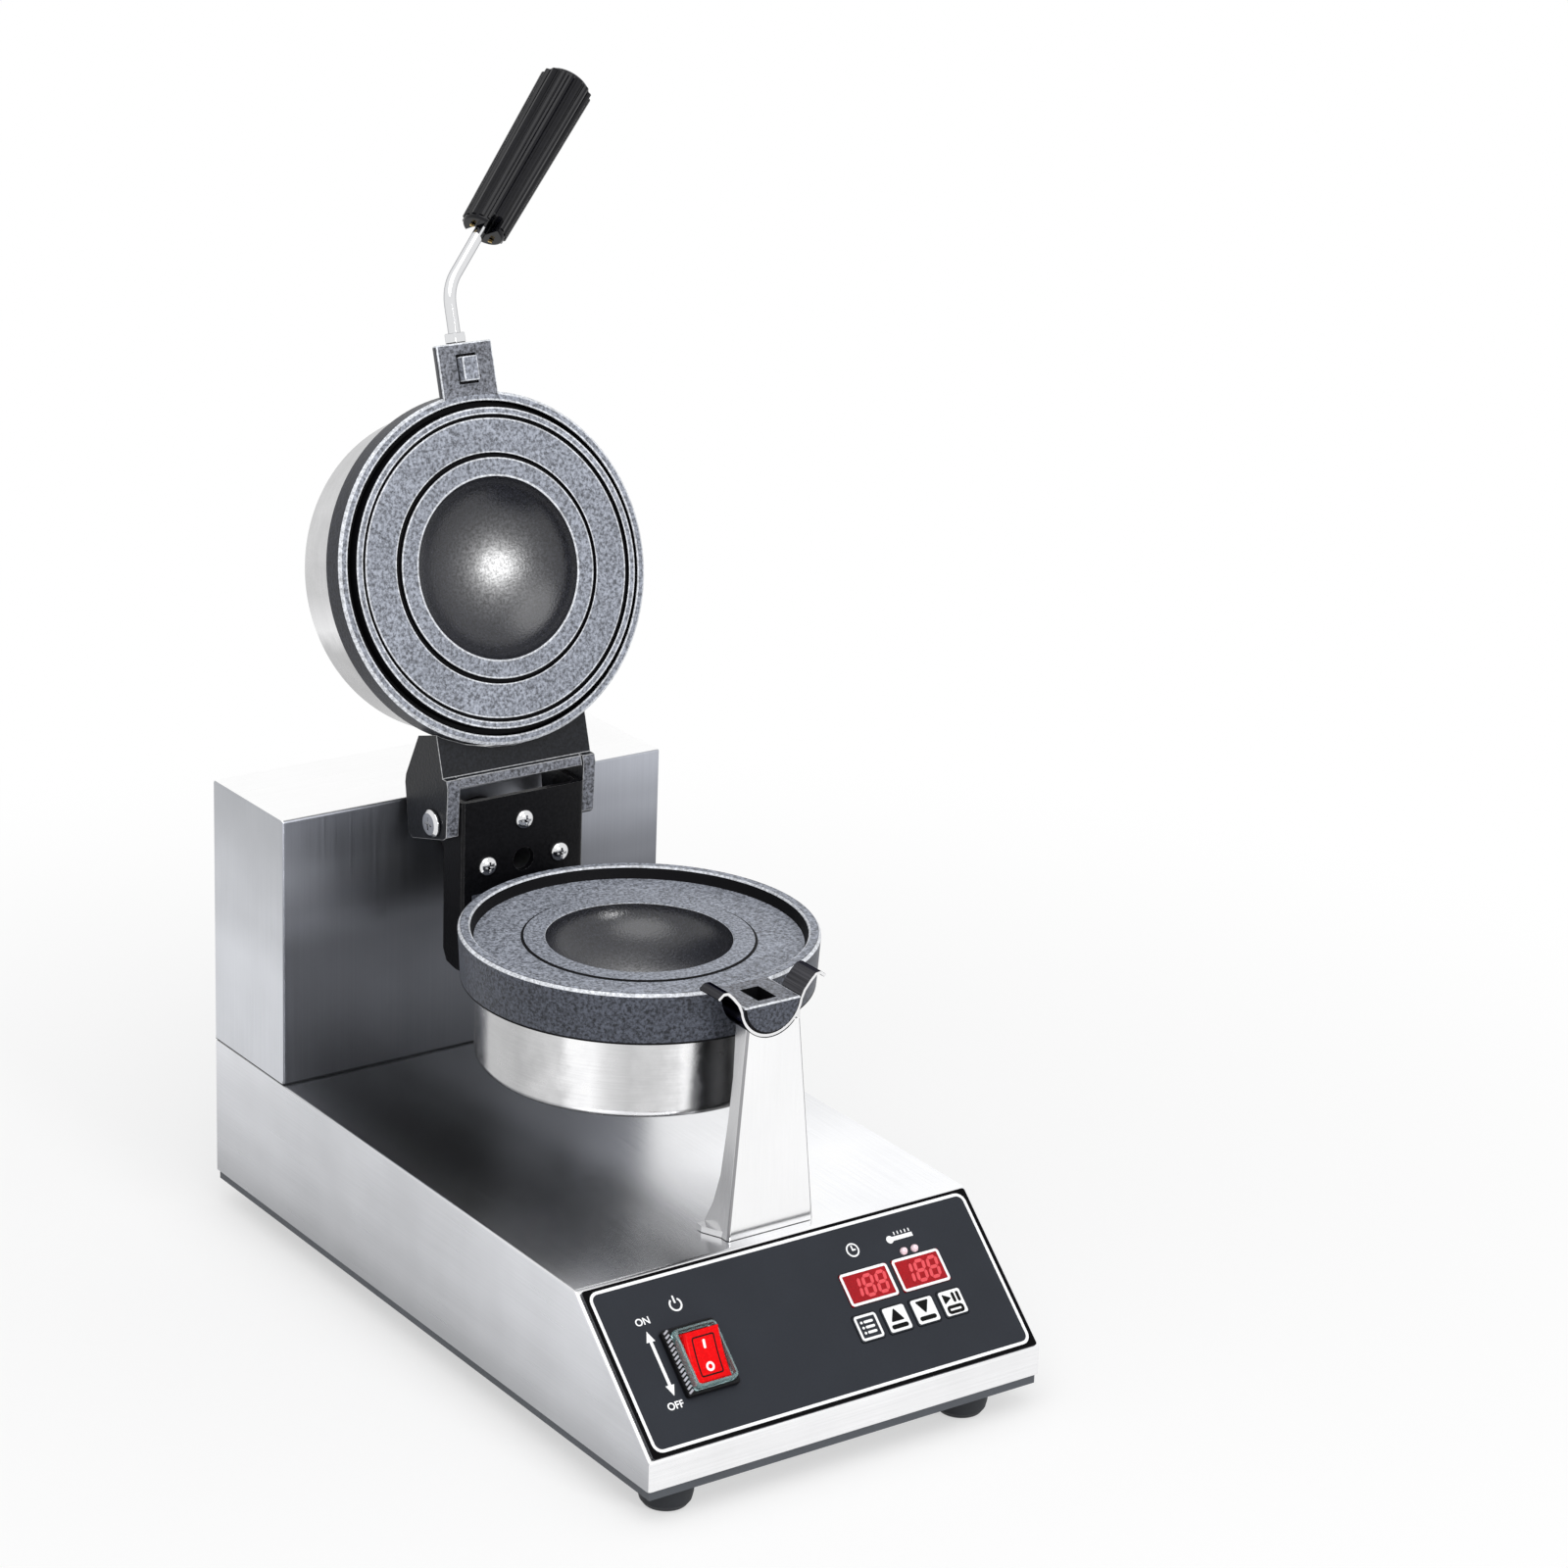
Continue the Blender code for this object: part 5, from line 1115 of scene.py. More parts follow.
# Only the lug's top edge keeps the painted highlight; its other edges get painted shade.
for face in lug.faces:
    if face.material_index == EDGE_HIGHLIGHT and face.calc_center_median().z < TURN_Z - 0.0015:
        face.material_index = PAINTED_SHADE
pocket = block((-0.0052, 0.0052), (PLATE_Y - 0.1052, PLATE_Y - 0.0904), (TURN_Z - 0.0105, TURN_Z + 0.01))
web = softened(block((-0.030, 0.030), (PLATE_Y + 0.082, 0.0777), (TURN_Z - 0.0230, TURN_Z - 0.0135)), 0.0006)
screw_hole = cylinder(0.0051, -0.0036, 0.004, 40)
moved(screw_hole, at(0, YOKE_FACE, TURN_Z - SCREW_CIRCLE), ALONG_Y)
plate = welded(plate, cut(lug, painted(pocket, PAINTED_SHADE)), painted(web, SHADED_SIDE))
piece("lower_casting", cut(plate, screw_hole),
      "plate_coat rim_coat lower_bowl_coat groove_coat edge_coat lug_coat",
      "head", "coated_iron", "lower_plate")

# %% [markdown]
# ## The cups
# A thin spun cup covers the heater on each plate. Its wall is 1 mm thick, its closed end has a
# round edge, and a screw with a domed head holds it in the middle.

# %% Cups
CUP_WALL, CUP_BEND, CUP_HOLE = 0.001, 0.005, 0.0031


def cup(radius, end, rim):
    """A thin cup from its closed end, with a round edge, to its rim."""
    inward = 1 if rim > end else -1
    turn_x, turn_z = radius - CUP_BEND, end + inward * CUP_BEND

    def edge(bend, stops):
        angles = [radians(degree) for degree in stops]
        return [(turn_x + bend * sin(a), turn_z - inward * bend * cos(a)) for a in angles]

    outside = [(CUP_HOLE, end), *edge(CUP_BEND, range(0, 91, 10)), (radius, rim)]
    inside = [(radius - CUP_WALL, rim), *edge(CUP_BEND - CUP_WALL, range(90, -1, -15))]
    return turned(outside + inside + [(CUP_HOLE, end + inward * CUP_WALL)], 144)


# Each cup: its radius, its closed end, its rim, its place and its body.
CUPS = {
    "lower_cup": (0.0775, -0.0665, -0.0133, HEAD, "head"),
    "upper_cup": (0.0790, 0.0520, 0.0103, LID_HEAD, "lid"),
}
for name, (radius, end, rim, place, body) in CUPS.items():
    piece(f"{name}_shell", moved(cup(radius, end, rim), place), f"{name}_steel", body, "polished_steel", name)

# %% Screws of the cups
for name, (radius, end, rim, place, body) in CUPS.items():
    out = 1 if end > 0 else -1
    stud = moved(cylinder(0.0062, *sorted((end + out * GAP, end + out * 0.0018)), 48), place)
    places = [(place @ Vector((0, 0, end + out * 0.0014)), place.to_3x3() @ Vector((0, 0, out)))]
    bolt = joined(stud, screw_heads(places, "bright_steel", 0.0060, 0.0032))
    piece(f"{name}_bolt", bolt, "bright_steel", body, "plain_steel", f"{name}_screw")

# %% [markdown]
# ## The upper plate
# The lid's plate matches the lower one, but its disc and the ring round it stand proud and reach
# into the lower recess, so that they press the edge shut. A deep groove, painted black as shade,
# parts them from the rim, and thin black rings of painted shade run beside the steps. The edges
# carry a painted highlight. The plate is drawn closed, above the lower one, and the last matrix
# opens it by 107 degrees about the hinge.

# %% Upper plate
DISC, RING, GROOVE, BACK_FACE, UPPER_BAND = -0.0030, -0.0026, 0.0045, 0.0100, 0.0135
# From the bowl over the disc, the ring, the groove and the rim to the back.
section = [
    *bowl_curve(BOWL_RADIUS, 0.0240, DISC)[::-1], (0.0455, DISC), (0.0530, DISC), (0.0537, DISC),
    (0.0540, -0.0004), (0.0556, -0.0004), (0.0560, -0.0020), (0.0567, -0.0020), (0.0722, -0.0018),
    (0.0729, -0.0018), (0.0731, -0.0002), (0.0744, -0.0002), (0.0747, RING), (0.0754, RING),
    (0.0772, RING), (0.0780, RING), (0.0783, GROOVE), (0.0808, GROOVE), (0.0815, GAP), (0.0823, GAP),
    (0.0846, GAP), (0.0860, 0.0016), (0.0860, UPPER_BAND), (0.0805, UPPER_BAND), (0.0805, BACK_FACE),
    *bowl_curve(BOWL_OUTSIDE, 0.0165, BACK_FACE),
]
# Rings of the face, from the middle: where each ends, and its coat.
LID_RINGS = [
    (0.04452, BOWL), (0.0455, EDGE_HIGHLIGHT), (0.0531, FLAT), (0.0537, EDGE_HIGHLIGHT), (0.0561, PAINTED_SHADE), (0.0568, EDGE_HIGHLIGHT),
    (0.0721, FLAT), (0.0729, EDGE_HIGHLIGHT), (0.0747, PAINTED_SHADE), (0.0755, EDGE_HIGHLIGHT), (0.0771, FLAT), (0.0780, EDGE_HIGHLIGHT),
    (0.0814, PAINTED_SHADE), (0.0823, EDGE_HIGHLIGHT), (0.0845, FLAT), (0.0859, EDGE_HIGHLIGHT),
]


def lid_face(normal, middle):
    """Which coat a face of the lid's plate gets, by the ring that it lies in."""
    distance = hypot(middle.x, middle.y)
    if normal.z > 0.5:
        return SHADED_SIDE
    return next((coat for reach, coat in LID_RINGS if distance < reach), SHADED_SIDE)


plate = moved(choose_finish(turned(eased(section, 0.0005, 3), 144), lid_face), HEAD)
slit = block((-0.0055, 0.0055), (PLATE_Y - 0.1047, PLATE_Y - 0.0901), (TURN_Z - 0.001, TURN_Z + 0.0018))
tongue = block((-0.0042, 0.0042), (PLATE_Y - 0.1034, PLATE_Y - 0.0914), (TURN_Z - 0.0036, TURN_Z + 0.004))
rod_hole = moved(cylinder(0.0034, -0.005, 0.0145), at(0, LUG_FRONT, ROD_Z), ALONG_Y)
plate = cut(welded(plate, lug_shape(False, 0.0007)), painted(slit, PAINTED_SHADE))
plate = cut(welded(plate, softened(tongue, 0.0006, mark=EDGE_HIGHLIGHT)), rod_hole)
piece("upper_casting", moved(plate, LID),
      "plate_coat lid_band upper_bowl_coat groove_coat edge_coat lug_coat",
      "lid", "coated_iron", "upper_plate")

# %% [markdown]
# ## Yoke, hinge and shaft
# These solids have flat faces and bored holes already. A merged copy of each gets its edges
# rounded, and the rounds are painted lighter as a highlight, so that the black castings show the
# thin lines of light that real ones do. The hinge arms are painted dark as shade, with their front
# faces in the lighter lug coat. The bearing and the shaft are turned profiles.

# %% Castings behind the plates
SHAFT = at(0, 0, TURN_Z) @ ALONG_Y
# The yoke's rounded edges carry the painted highlight.
piece("yoke_casting", merged_copy("yoke_bracket", 0.0006, 1), "black_coat cast_edge",
      "head", "black_casting", "yoke_bracket")
# The arms' dark coat is painted shade; their front faces get the lighter lug coat and their rounds the
# painted highlight.
arms = merged_copy(
    "hinge_casting", 0.0008, 1, lambda normal, middle: 2 if normal.y < -0.9 and middle.y < 0.083 else 0)
piece("hinge_arms", arms, "hinge_coat cast_edge lug_coat", "lid", "coated_iron", "hinge_casting")

bearing = [(0.0103, 0.115), (0.0170, 0.115), (0.0180, 0.116), (0.0180, 0.1278)]
bearing += [(0.0310, 0.1278), (0.0310, 0.1328), (0.0190, 0.1338), (0.0190, 0.1478), (0.0103, 0.1478)]
bearing = moved(turned(eased(bearing, 0.0006, 3), 96), SHAFT)
above = block((-0.04, 0.04), (0.1245, 0.16), (TURN_Z + 0.0222, TURN_Z + 0.04))
piece("bearing_casting", cut(bearing, above), "black_coat", "base", "black_casting", "bearing_block")

shaft = [(0.006, 0.0813), (0.0275, 0.0813), (0.0275, 0.0873), (0.0115, 0.0873), (0.0100, 0.0888)]
shaft += [(0.0100, 0.1760), (0.0090, 0.1770), (0.0060, 0.1770)]
shaft = moved(turned(eased(shaft, 0.0005, 3), 96), SHAFT)
piece("shaft_tube", shaft, "plain_steel", "head", "plain_steel", "head_shaft")

# %% Screws of the yoke and bolts of the hinge
corners = [(cos(a), sin(a)) for a in (0, pi / 2, pi, 3 * pi / 2)]
places = [((SCREW_CIRCLE * x, YOKE_FACE - 0.0002, TURN_Z + SCREW_CIRCLE * z), (0, -1, 0)) for x, z in corners]
piece("yoke_screw_heads", screw_heads(places, "chrome", 0.0050, 0.0028), "chrome", "head", "chrome",
      "yoke_screw_right", "yoke_screw_top", "yoke_screw_left", "yoke_screw_bottom")

bolt = [(0, 0.029), (0.0040, 0.029), (0.0040, 0.0428), (0.0070, 0.0428), (0.0070, 0.0442)]
bolt = eased(bolt + [(0.0055, 0.0456), (0, 0.0459)], 0.0006, 4)
CROSS = [(-0.0032, 0.0032), (-0.0007, 0.0007)]
for side, way in (("left", -1), ("right", 1)):
    crosses = [block(*pair, (0.0443, 0.050)) for pair in (CROSS, CROSS[::-1])]
    pin = at(0, HINGE_Y, HINGE_Z) @ Matrix.Rotation(way * pi / 2, 4, "Y")
    shank = cut(moved(turned(bolt, 64), pin), *[moved(bar, pin) for bar in crosses])
    piece(f"hinge_pin_{side}", shank, "chrome", "lid", "chrome", f"hinge_bolt_{side}")

# %% [markdown]
# ## The handle
# A chrome rod screws into the lid's tab, bends and carries a black grip. The rod is a tube along
# a smooth line. The grip is a tapered core with 16 half-round ribs: a tree sets one rib on each
# point of a ring and leans it with the taper.

# %% Rod and lock nut
GRIP_WAY = Vector((0.695, -0.712, 0.103)).normalized()
ROD_RADIUS, ROD_BEND, TO_GRIP, TO_END = 0.003, 0.009, 0.036, 0.106
start, corner = Vector((0, PLATE_Y - 0.098, ROD_Z)), Vector((0, PLATE_Y - 0.1375, ROD_Z))
before, after = corner + Vector((0, ROD_BEND, 0)), corner + GRIP_WAY * ROD_BEND
route = [start, (start + before) / 2, *curve_through(before, corner, after, 16)]
route += [corner + GRIP_WAY * TO_GRIP, corner + GRIP_WAY * TO_END]


def tube(points, radius, sides=28):
    """A round tube along points, closed at both ends."""
    rings = []
    spokes = [2 * pi * k / sides for k in range(sides)]
    for i, p in enumerate(points):
        along = (points[min(i + 1, len(points) - 1)] - points[max(i - 1, 0)]).normalized()
        across = along.cross(Vector((0, 0, 1))).normalized()
        other = across.cross(along).normalized()
        rings.append([p + (across * cos(a) + other * sin(a)) * radius for a in spokes])
    return lofted(rings)


piece("rod_bar", moved(tube(route, ROD_RADIUS), LID), "chrome", "lid", "chrome", "handle_rod")
nut = moved(six_sided_nut(0.0056, -0.0052, -GAP, 0.0033), LID, at(0, LUG_FRONT, ROD_Z), ALONG_Y)
piece("rod_nut", nut, "chrome", "lid", "chrome", "lock_nut")

# %% A tree of grip ribs
grip_tree, given = new_tree("grip_ribs", {
    "Ribs": ("Int", 16), "Ring Radius": ("Float", 0.0104), "Rib Radius": ("Float", 0.0019),
    "Length": ("Float", 0.092), "Lean": ("Float", 0.0208), "Finish": ("Material", None),
})
ring = add_node(grip_tree, "GeometryNodeMeshCircle", {
    "Vertices": given["Ribs"], "Radius": given["Ring Radius"]}).outputs["Mesh"]
rib = add_node(grip_tree, "GeometryNodeMeshCylinder", {
    "Vertices": 10, "Radius": given["Rib Radius"], "Depth": given["Length"]}).outputs["Mesh"]
lift = vector(grip_tree, z=product(grip_tree, given["Length"], 0.5))
outward = add_node(grip_tree, "GeometryNodeInputPosition").outputs[0]
parts = add_node(grip_tree, "ShaderNodeSeparateXYZ", {0: outward}).outputs
around = calculated(grip_tree, "ARCTAN2", parts["Y"], parts["X"])
end_tree(grip_tree, ring, transformed(grip_tree, rib, Translation=lift), given["Finish"],
         Rotation=vector(grip_tree, 0.0, given["Lean"], around))

# %% Grip
GRIP_LENGTH, SCREWS_AT = 0.096, (-0.0062, 0.0062)
grip_turn = GRIP_WAY.to_track_quat("Z", "X").to_matrix().to_4x4()
grip_base = corner + GRIP_WAY * TO_GRIP
rod_frame = LID @ at(*grip_base) @ grip_turn
grip_frame = LID @ at(*(grip_base + Vector((0.0006, 0.0006, -0.0005)))) @ grip_turn
core = [(0, 0), (0.0104, 0), (0.0111, 0.0012), (0.0124, GRIP_LENGTH - 0.0015), (0.0116, GRIP_LENGTH)]
core = turned(eased(core + [(0, GRIP_LENGTH)], 0.0012, 4), 72)
seed = bmesh.new()
seed.verts.new((0, 0, 0))
ribs = grown(grip_tree, seed, Ring_Radius=0.0101, Length=GRIP_LENGTH - 0.004, Finish=finishes["grip_plastic"])
grip = moved(welded(core, moved(ribs, at(0, 0, 0.002))), grip_frame)
grip = cut(
    grip,
    moved(cylinder(0.0033, -0.01, 0.0725), rod_frame),
    moved(block((-0.02, 0.02), (-0.0035, 0.0035), (-0.01, 0.006)), rod_frame),
    *[moved(cylinder(0.0013, -0.003, 0.0105, 20), grip_frame, at(0, y, 0)) for y in SCREWS_AT])
piece("grip_body", grip, "grip_plastic", "lid", "black_plastic", "handle_grip")
facing_out = grip_frame.to_3x3() @ Vector((0, 0, -1))
places = [(grip_frame @ Vector((0, y, -0.0001)), facing_out) for y in SCREWS_AT]
piece("grip_screw_heads", screw_heads(places, "brass", 0.0019, 0.0011, 0.30), "brass", "lid", "brass",
      "grip_screw_a", "grip_screw_b")

# %% [markdown]
# ## Prints on the panel
# The film on the slope is printed from behind on the real machine. Here each print is a plate a
# few hundredths of a millimetre thick, drawn flat in the slope's own frame of (across, up, out)
# and carried into place by one matrix. A white line runs round the panel with a black border
# outside it. Words are kept to ON and OFF; a power sign, a clock and a thermometer name the rest.

# %% Prints
FILM_TOP, INK = 0.0013, 0.00005


def slab(outline, low, high, holes=()):
    """An extruded outline with holes through it."""
    bm = bmesh.new()
    edges = []
    for loop in [outline, *holes]:
        verts = [bm.verts.new((x, y, low)) for x, y in loop]
        edges += [bm.edges.new((verts[i - 1], verts[i])) for i in range(len(verts))]
    bmesh.ops.triangle_fill(bm, use_beauty=True, edges=edges)
    grown_part = bmesh.ops.extrude_face_region(bm, geom=list(bm.faces), use_keep_orig=True)
    for vert in grown_part["geom"]:
        if isinstance(vert, bmesh.types.BMVert):
            vert.co.z = high
    bmesh.ops.recalc_face_normals(bm, faces=bm.faces)
    return bm


def printed(outline, holes=(), level=FILM_TOP, layer=1):
    """A print in the first or second layer of ink above a level."""
    return slab(outline, level + (layer - 0.6) * INK, level + (layer + 0.4) * INK, holes)


def ring_print(width, height, corner, line, middle, **where):
    outside = shifted(rounded(width + line, height + line, corner + line / 2), *middle)
    inside = shifted(rounded(width - line, height - line, corner - line / 2), *middle)
    return printed(outside, [inside], **where)


def bar_print(start, end, line, **where):
    """A straight stroke with round ends."""
    way = degrees(atan2(end[1] - start[1], end[0] - start[0]))
    outline = arc(start, line / 2, way + 90, way + 270, 8) + arc(end, line / 2, way - 90, way + 90, 8)
    return printed(outline, **where)


def lettered(text, height, middle):
    """Plain capital letters as a print; height is that of a capital."""
    curve = bpy.data.curves.new("letters", "FONT")
    curve.body, curve.size = text, height / 0.70
    curve.align_x = curve.align_y = "CENTER"
    curve.extrude, curve.offset = INK / 2, 0.0001
    source = bpy.data.objects.new("letters", curve)
    bpy.context.scene.collection.objects.link(source)
    bm = taken_in(evaluated(source))
    bpy.data.objects.remove(source)
    bmesh.ops.remove_doubles(bm, verts=bm.verts, dist=1e-7)
    return moved(bm, at(*middle, FILM_TOP + 0.9 * INK))


print("a ring print has", len(ring_print(0.01, 0.01, 0.001, 0.001, (0, 0)).faces), "faces")

# %% The printed panel
LINE_SIZE, LINE_MIDDLE = (0.2098, 0.0780, 0.0042), (0, 0.04085)
ARROW_X, ARROW_LOW, ARROW_HIGH = -0.0848, 0.0245, 0.0564
HALF_STEM, HALF_TIP, TIP = 0.0008, 0.0023, 0.0052
edge = [(HALF_STEM, ARROW_LOW + TIP), (HALF_STEM, ARROW_HIGH - TIP), (HALF_TIP, ARROW_HIGH - TIP)]
arrow = [*edge, (0, ARROW_HIGH), *[(-x, y) for x, y in edge[::-1]]]
arrow += [(-HALF_TIP, ARROW_LOW + TIP), (0, ARROW_LOW), (HALF_TIP, ARROW_LOW + TIP)]
power_sign, clock, thermometer = (-0.0650, 0.0650), (0.0350, 0.0672), (0.0625, 0.0672)
hand_outline = [(-0.0004, -0.0004), (0.0017, -0.0004), (0.0017, 0.0004), (0.0004, 0.0004)]
hand_outline += [(0.0004, 0.0023), (-0.0004, 0.0023)]
bulb = arc((-0.0060, 0), 0.0019, 32, 328, 24) + [(0.0070, -0.0010), (0.0070, 0.0010)]
white_prints = [
    ring_print(*LINE_SIZE, 0.0015, LINE_MIDDLE),
    lettered("ON", 0.0034, (-0.0846, 0.0612)),
    lettered("OFF", 0.0034, (-0.0862, 0.0200)),
    printed(shifted(arrow, ARROW_X, 0)),
    printed(arc(power_sign, 0.0034, 125, 415, 28) + arc(power_sign, 0.0025, 415, 125, 28)),
    bar_print(*shifted([(0, 0.0010), (0, 0.0040)], *power_sign), 0.0009),
    printed(circle(0.0035, clock), [circle(0.0027, clock)]),
    printed(shifted(hand_outline, *clock)),
    printed(shifted(bulb, *thermometer)),
]
for tick in range(5):
    x = 0.0021 * tick - 0.0025
    white_prints.append(bar_print(*shifted([(x, 0.0019), (x, 0.0030)], *thermometer), 0.0006))
piece("panel_prints", moved(joined(*white_prints), PANEL), "white_ink", "base", "panel_film")

film_outline = shifted(rounded(0.2153, 0.0829, 0.0012), 0, 0.04065)
inner_outline = shifted(rounded(*LINE_SIZE), *LINE_MIDDLE)
border = slab(film_outline, FILM_TOP - 0.0001, FILM_TOP + 0.1 * INK, [inner_outline])
piece("panel_border", moved(border, PANEL), "film_edge", "base", "panel_film")

# %% [markdown]
# ## Displays
# Each display is a red window in a white frame that shows 188, the number with the most segments
# lit. A segment is one small hexagon, and the copy tree sets sixteen of them in each display. A
# shear then leans the digits, as on real modules.

# %% Displays
DISPLAYS = [(0.0350, 0.0489), (0.0650, 0.0489)]
WINDOW_TOP = FILM_TOP + 0.0005
DIGIT_HIGH, DIGIT_WIDE, DIGIT_PITCH, STROKE, BREAK = 0.0096, 0.0047, 0.0074, 0.0017, 0.0003
LEAN = Matrix(((1, 0.14, 0, 0), (0, 1, 0, 0), (0, 0, 1, 0), (0, 0, 0, 1)))


def segments(length, turn, spots):
    """Hexagonal segments of one length, all with one turn."""
    tip, side = length / 2, STROKE / 2
    outline = [(-tip, 0), (side - tip, -side), (tip - side, -side)]
    outline += [(-x, -y) for x, y in outline]
    shape = prism(outline, WINDOW_TOP + 0.4 * INK, WINDOW_TOP + 1.4 * INK, "Z")
    return copied(shape, [((x, y, 0), (0, 0, turn)) for x, y in spots], "digit_red")


def number_print(text):
    """A row of digits, each a 1 or an 8."""
    level, upright = [], []
    for place, digit in enumerate(text):
        x, half = DIGIT_PITCH * (place - 1), DIGIT_HIGH / 2
        level += [(x, k * half) for k in (-1, 0, 1) if digit == "8"]
        for side in (-1, 1) if digit == "8" else (1,):
            upright += [(x + side * DIGIT_WIDE / 2, k * half / 2) for k in (-1, 1)]
    return joined(segments(DIGIT_WIDE - BREAK, 0, level), segments(DIGIT_HIGH / 2 - BREAK, pi / 2, upright))


frames = [ring_print(0.0258, 0.0152, 0.0012, 0.0013, middle, level=WINDOW_TOP) for middle in DISPLAYS]
digits = [moved(number_print("188"), at(*middle, 0), LEAN) for middle in DISPLAYS]
piece("display_frames", moved(joined(*frames), PANEL), "white_ink", "base", "panel_film")
piece("display_digits", moved(joined(*digits), PANEL), "digit_red", "base", "red_plastic")

# %% [markdown]
# ## Keys
# Each key is a body of its own that travels by half a millimetre, so its marks ride on that body.
# The first one is dark with a white outline, and the other three are white with dark signs.

# %% Marks on the keys
KEY_FIRST, KEY_PITCH, KEY_TOP = (0.0251, 0.0298), 0.0162, FILM_TOP + 0.0007
ON_KEY, ON_WHITE = {"level": KEY_TOP}, {"level": KEY_TOP, "layer": 2}


def triangle(x, y, size, turn):
    """A filled triangle with its tip at a turn in degrees."""
    return printed(eased(arc((x, y), size, turn, turn + 240, 2), size / 8, 3, closed=True), **ON_WHITE)


def key_signs(number, x, y):
    """The dark signs of a white key, in two rows."""
    if number < 3:
        rise, turn = (0.0010, 90) if number == 1 else (0.0028, 270)
        line = bar_print((x - 0.0036, y - 0.0037), (x + 0.0036, y - 0.0037), 0.0022, **ON_WHITE)
        return [triangle(x, y + rise, 0.0044, turn), line]
    bars = [(x + dx, y + 0.0006, y + 0.0040) for dx in (0.0014, 0.0040)]
    pause = [bar_print((bar, low), (bar, high), 0.0017, **ON_WHITE) for bar, low, high in bars]
    stop = ring_print(0.0078, 0.0026, 0.0009, 0.0016, (x, y - 0.0034), **ON_WHITE)
    return [triangle(x - 0.0030, y + 0.0023, 0.0030, 0), *pause, stop]


for number in range(4):
    x, y = KEY_FIRST[0] + KEY_PITCH * number, KEY_FIRST[1]
    body = f"key_{number + 1}"
    if number == 0:
        white = [ring_print(0.0112, 0.0112, 0.0010, 0.0012, (x, y), **ON_KEY)]
        for row in (0.0026, 0, -0.0026):
            for left, right_end in ((-0.0011, 0.0028), (-0.0031, -0.0030)):
                white.append(bar_print((x + left, y + row), (x + right_end, y + row), 0.0013, **ON_KEY))
    else:
        white = [printed(shifted(rounded(0.0122, 0.0122, 0.0012), x, y), **ON_KEY)]
        dark = moved(joined(*key_signs(number, x, y)), PANEL)
        piece(f"{body}_signs", dark, "black_ink", body, "panel_film")
    piece(f"{body}_face", moved(joined(*white), PANEL), "white_ink", body, "panel_film")

# %% [markdown]
# ## The switch
# A red rocker tips in a clear rim. The rim stands on a black base whose left edge carries fine
# ribs. The rocker's top is dished, and its marks follow the dish: each mark is a tall shape of
# which only the layer just above the rocker's surface is kept.

# %% Base and rim of the guard
SWITCH = PANEL @ at(*SWITCH_AT, 0)
FLANGE = FILM_TOP + GAP
RIB_COUNT, RIB_FIRST, RIB_PITCH = 15, -0.0143, 0.0021


def stepped(levels, corner=0.0015, middle=(0, 0)):
    """A solid of round-cornered rectangles (width, height, level), one above the other."""
    return lofted([[(x, y, z) for x, y in shifted(rounded(w, h, corner), *middle)] for w, h, z in levels])


foot = stepped([(0.0284, 0.0328, FLANGE), (0.0284, 0.0328, 0.0040), (0.0278, 0.0322, 0.0045)],
               middle=(-0.0011, 0.0001))
bezel = stepped([(0.0251, 0.0316, -0.01), (0.0251, 0.0316, FLANGE + 0.0017)])
opening = stepped([(0.0232, 0.0292, -0.02), (0.0232, 0.0292, 0.02)])
piece("guard_base", moved(cut(foot, bezel, opening), SWITCH), "black_plastic", "base", "black_plastic")

rim = [(0.0230, 0.0290, FLANGE + 0.0020), (0.0230, 0.0290, 0.0070)]
rim = stepped([*rim, (0.0224, 0.0284, 0.0081), (0.0212, 0.0272, 0.0084)], 0.0022)
rim = cut(rim, stepped([(0.0202, 0.0264, -0.01), (0.0202, 0.0264, 0.02)], 0.0018))
piece("guard_rim", moved(rim, SWITCH), "clear_plastic", "base", "clear_plastic", "switch_guard")

ribs = [((-0.0134, RIB_FIRST + RIB_PITCH * k, 0.0045), (0, 0, radians(30))) for k in range(RIB_COUNT)]
rib = softened(block((-0.0014, 0.0014), (-0.0005, 0.0005), (-0.0001, 0.0006)), 0.00015)
piece("guard_ribs", moved(copied(rib, ribs, "rib_grey"), SWITCH), "rib_grey", "base", "clear_plastic")

# %% Rocker
HALF, CAP_HALF_WIDTH, PEAK, DISH, TIPPED = 0.0120, 0.0096, 0.0045, 0.0012, radians(16)
ROCKER = at(*(SWITCH @ Vector((0, 0, 0.0045)))) @ Matrix.Rotation(SLOPE + TIPPED, 4, "X")


def rocker_solid(lift, half_width):
    """The rocker's solid with its dished top raised by lift."""
    top = [(HALF - 2 * HALF * k / 16, PEAK - DISH * (1 - (1 - k / 8) ** 2) + lift) for k in range(17)]
    bottom = [(-HALF, -0.0015), (-0.0060, -0.0045), (0.0060, -0.0045), (HALF, -0.0015)]
    return prism(bottom + top, -half_width, half_width)


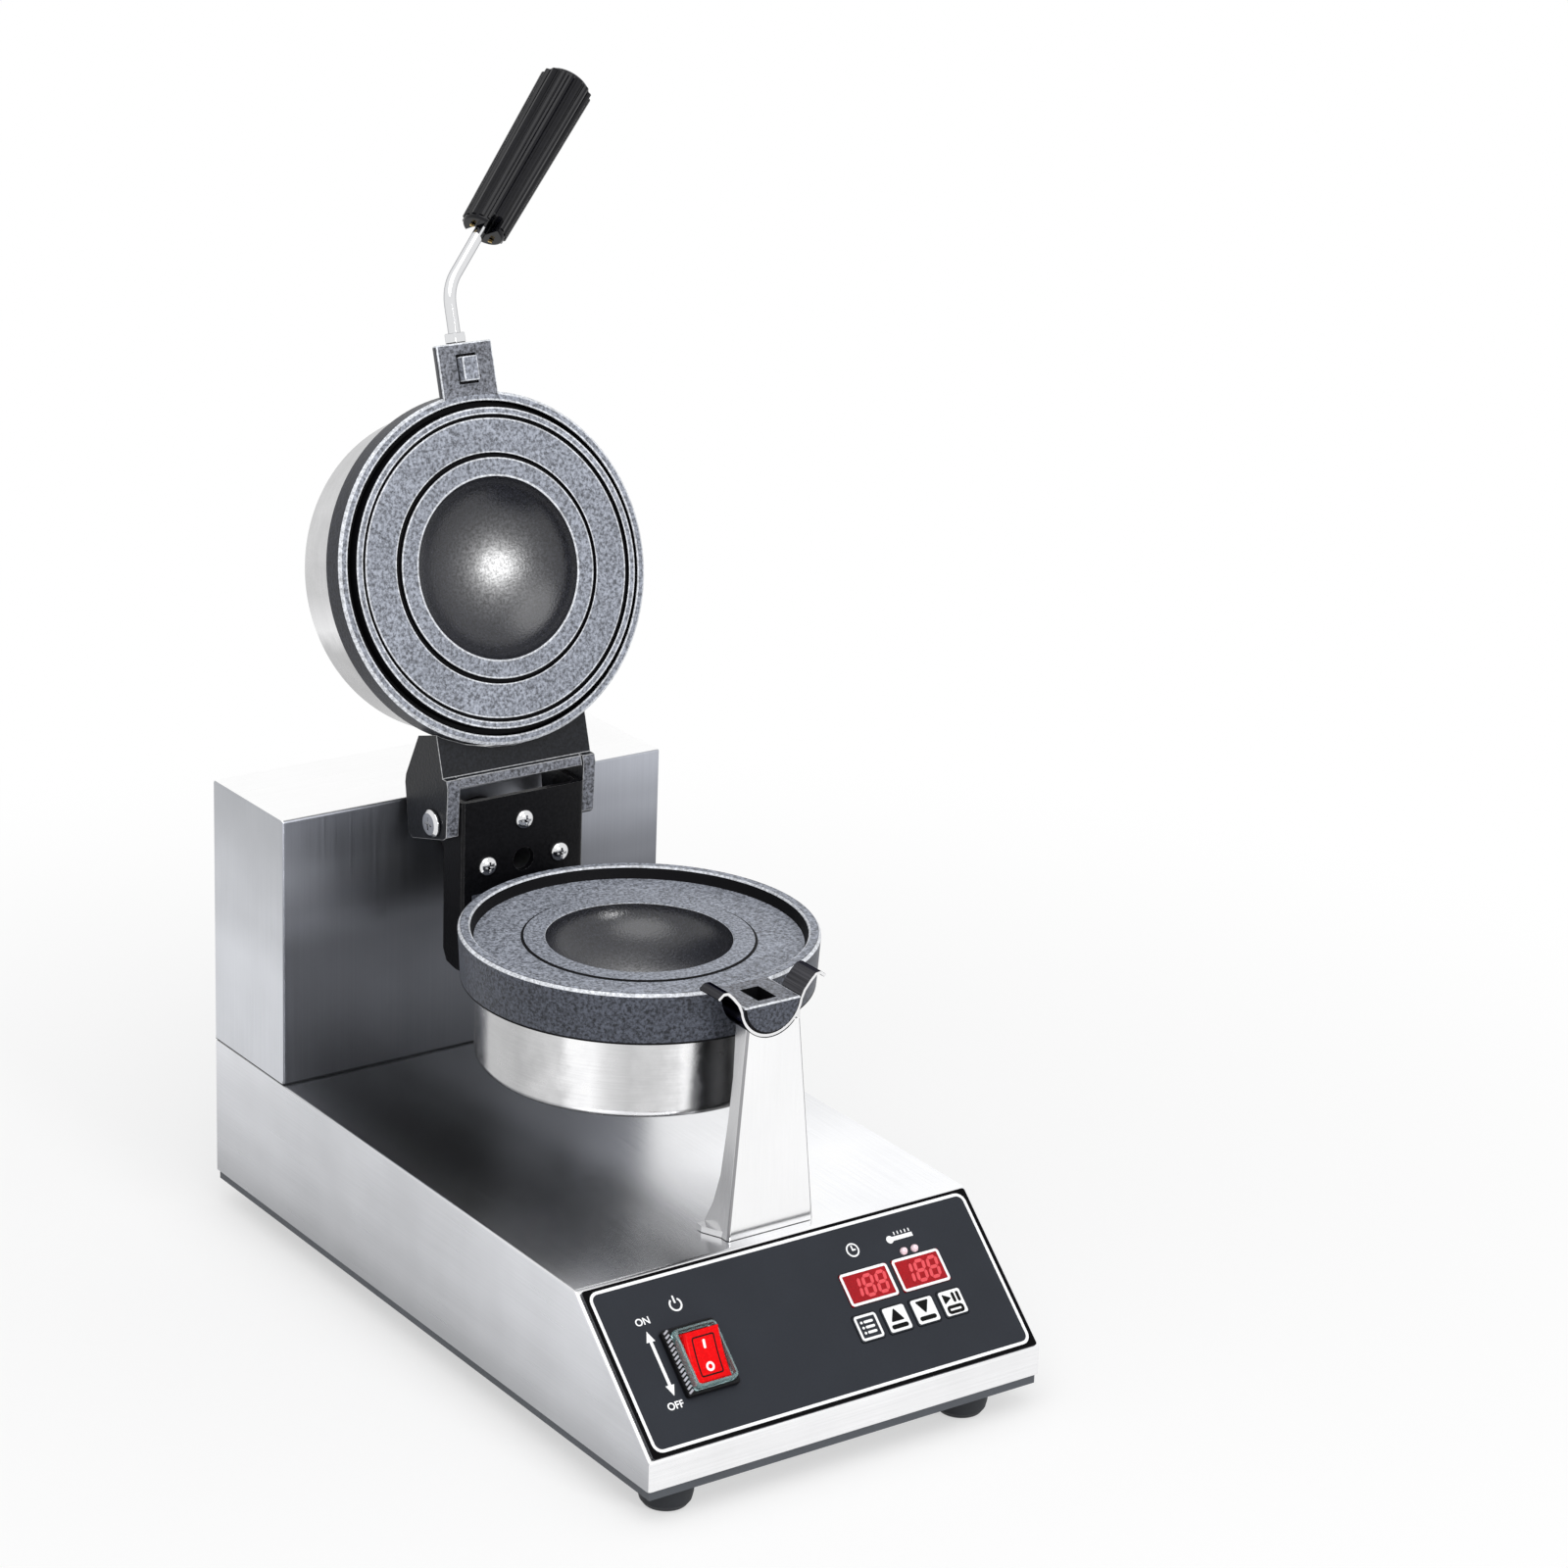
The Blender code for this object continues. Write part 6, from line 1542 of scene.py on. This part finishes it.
def on_rocker(shape):
    """Keep of a tall shape the thin layer above the rocker's top."""
    layer = cut(shape, rocker_solid(INK, CAP_HALF_WIDTH), operation="INTERSECT")
    return moved(cut(layer, rocker_solid(-INK, 0.0200)), ROCKER)


def is_cap_edge(edge):
    """Whether an edge of the rocker runs round its top."""
    a, b = (v.co for v in edge.verts)
    return min(a.z, b.z) > 0 and (abs(a.x - b.x) < 1e-6 or abs(a.y) > HALF - 0.0001)


cap = rocker_solid(0, CAP_HALF_WIDTH)
rounded_edges(cap, [e for e in cap.edges if is_cap_edge(e)], 0.0014, 5, clamp_overlap=True)
piece("rocker_cap", moved(cap, ROCKER), "rocker_red", "rocker", "red_plastic", "rocker")
TALL, SIGN_UP, SIGN_DOWN = (0.0005, 0.02), (0, 0.0052), (0, -0.0052)
bar = slab(shifted(rounded(0.0013, 0.0042, 0.0006), *SIGN_UP), *TALL)
ring = slab(circle(0.0022, SIGN_DOWN), *TALL, [circle(0.0011, SIGN_DOWN)])
piece("rocker_signs", on_rocker(joined(bar, ring)), "white_ink", "rocker", "red_plastic")
line = slab(rounded(0.0122, 0.0184, 0.0012), *TALL, [rounded(0.0108, 0.0170, 0.0006)])
piece("rocker_line", on_rocker(line), "black_ink", "rocker", "red_plastic")

# %% [markdown]
# ## Finishes of the solids that stay
# Some solids have the right shape already, such as the tray and the parts inside. They keep their
# mesh and get a finish from the ones above.

# %% Solids that stay
STAYING = {
    "grey_paint": "bottom_tray",
    "plain_steel": ("tower_bracket bearing_bolt_left bearing_bolt_right shaft_collar stop_pin "
                    "lower_heater upper_heater"),
    "film": "control_panel key_1 key_2 key_3 key_4",
    "black_plastic": "switch_housing gland_nut",
    "board_green": "display_board power_board",
    "pale_plastic": "terminal_block",
    "display_red": "time_display temperature_display",
    "lamp_lens": "time_lamp heat_lamp",
    "brass": "lower_probe upper_probe",
}
for finish_name, names in STAYING.items():
    for name in names.split():
        for material_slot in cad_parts[name].material_slots:
            material_slot.material = finishes[finish_name]
print(sum(len(names.split()) for names in STAYING.values()), "solids keep their shape")
